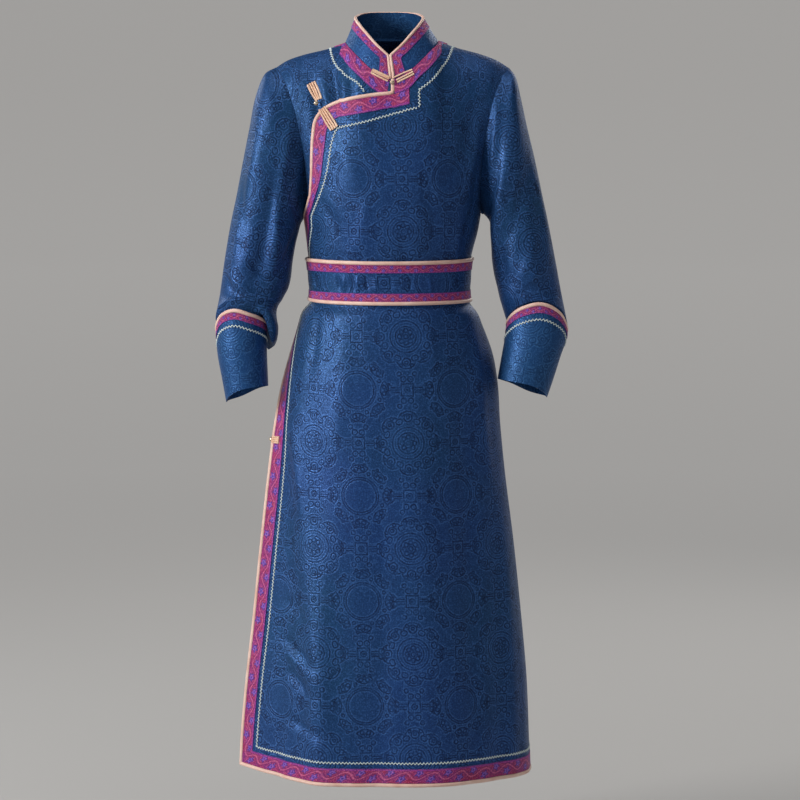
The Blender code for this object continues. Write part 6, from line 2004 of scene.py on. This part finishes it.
# %% Neck frog
NECK_BAR = 0.038
NECK_KNOT_GAP = 0.006
NECK_PITCH = 0.0029     # from the middle of one cord to the next
NECK_CORD = 0.0015      # half the width of one cord
NECK_KNOT_HEIGHT = 0.0046
CORD_RISE = 0.0022
seam = bodice(-1, 0.0, 1.0)
neck_parts = [piece for piece in bpy.data.objects if not piece.hide_render and (
    "collar" in piece.name or piece.name.startswith("neck_band") or "front_brocade" in piece.name)]
for hand, side in sides.items():
    along_bar = np.array([hand * 0.90, 0.12, 0.42])
    across_bar = np.array([hand * 0.38, 0.28, -0.88])
    out = unit(np.array([hand * 0.20, -0.92, -0.34]))
    meshes = []
    for share in (-1.0, 0.0, 1.0):
        place = np.linspace(NECK_BAR, NECK_KNOT_GAP, 18)
        points = seam + place[:, None] * along_bar + share * NECK_PITCH * across_bar
        ways_out = np.repeat(out[None], len(points), axis=0)
        high = heights_over(points, ways_out, neck_parts)
        points = points + ways_out * (evened(high) + TRIM_LIFT)[:, None]
        meshes.append(swept(points, ways_out, cord_profile(NECK_CORD, CORD_RISE)))
    join("neck_frog_" + side, "cords", meshes, cord_satin, "frog")
out = unit(np.array([0.0, -0.93, -0.36]))
high = heights_over(seam[None], out[None], neck_parts)[0]
knot("neck_frog_knot", seam + out * (high + NECK_KNOT_HEIGHT), out)

# %% Side frog
SIDE_FROG = -0.664
SIDE_TAB = 0.021
SIDE_TAB_WIDTH = 0.0125
SIDE_CORDS = 4
SIDE_CORD = 0.00155     # half the width of one cord
TAB_IN = 0.0025         # where its cords start, in from the edge
BACK_TAB = (0.84, 0.98)         # u of the ends of its tab on the back
meshes = {"front": [], "back": []}
for cord in range(SIDE_CORDS):
    place = ((cord + 0.5) / SIDE_CORDS - 0.5) * SIDE_TAB_WIDTH + SIDE_FROG - ARMPIT
    u = np.array([from_edge(outer, np.array([place]), inset)[0] for inset in np.linspace(TAB_IN, SIDE_TAB, 14)])
    points, out = outer.at(u, place), outer.outs(u, place)
    high = heights_over(points, out, flap_parts)
    profile = cord_profile(SIDE_CORD, CORD_RISE)
    meshes["front"].append(swept(points + out * evened(high, 2)[:, None], out, profile))
    u = np.linspace(*BACK_TAB, 14)
    meshes["back"].append(swept(rear.at(u, place), rear.outs(u, place), profile))
for part, cords in meshes.items():
    join("side_frog_" + part, "cords", cords, cord_satin, "frog")
low, high = (np.array(corner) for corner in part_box("side_frog_knot"))
knot("side_frog_knot", (low + high) / 2, (-0.35, 0.94, 0.0))
print("three frogs with their knots")

# %% [markdown]
# ## What the cloth was cut from
# Each panel has a row with the width and length of its cut and its flat area, and its draped
# area is printed beside the flat one.

# %% Flat cuts
Cut = namedtuple("Cut", "piece width length area held")
CUTS = chart(
    Cut,
    ("outer_front_brocade", 0.68, 1.32, 0.60, "hung"),
    ("under_front_brocade", 0.52, 1.32, 0.39, "hung"),
    ("back_brocade", 0.62, 1.34, 0.62, "hung"),
    ("right_sleeve_brocade", 0.42, 0.54, 0.155, "draped"),
    ("left_sleeve_brocade", 0.42, 0.54, 0.140, "draped"),
    ("right_cuff_brocade", 0.28, 0.165, 0.034, "draped"),
    ("left_cuff_brocade", 0.30, 0.165, 0.037, "draped"),
    ("right_collar_brocade", 0.20, 0.070, 0.011, "stretched"),
    ("left_collar_brocade", 0.21, 0.070, 0.012, "stretched"),
    ("belt_brocade", 0.77, 0.077, 0.059, "stretched"),
)
RESTS = {"belt_brocade": ["outer_front_brocade", "back_brocade"], "outer_front_brocade": ["under_front_brocade"]}
for cut in CUTS:
    piece = bpy.data.objects[cut.piece]
    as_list(RESTS.get(cut.piece, []))
    area = sum(face.area for face in piece.data.polygons) / 2
    print(cut.piece, "draped", round(area, 4), "m2 of", cut.area)

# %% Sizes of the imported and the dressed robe
bpy.context.view_layer.update()
bpy.context.view_layer.update()
triangles = {o.name: sum(len(p.vertices) - 2 for p in o.data.polygons)
             for o in bpy.data.objects if o.type == "MESH" and not o.hide_render}
print("triangles:", sum(triangles.values()), "most in one piece:", max(triangles.values()))
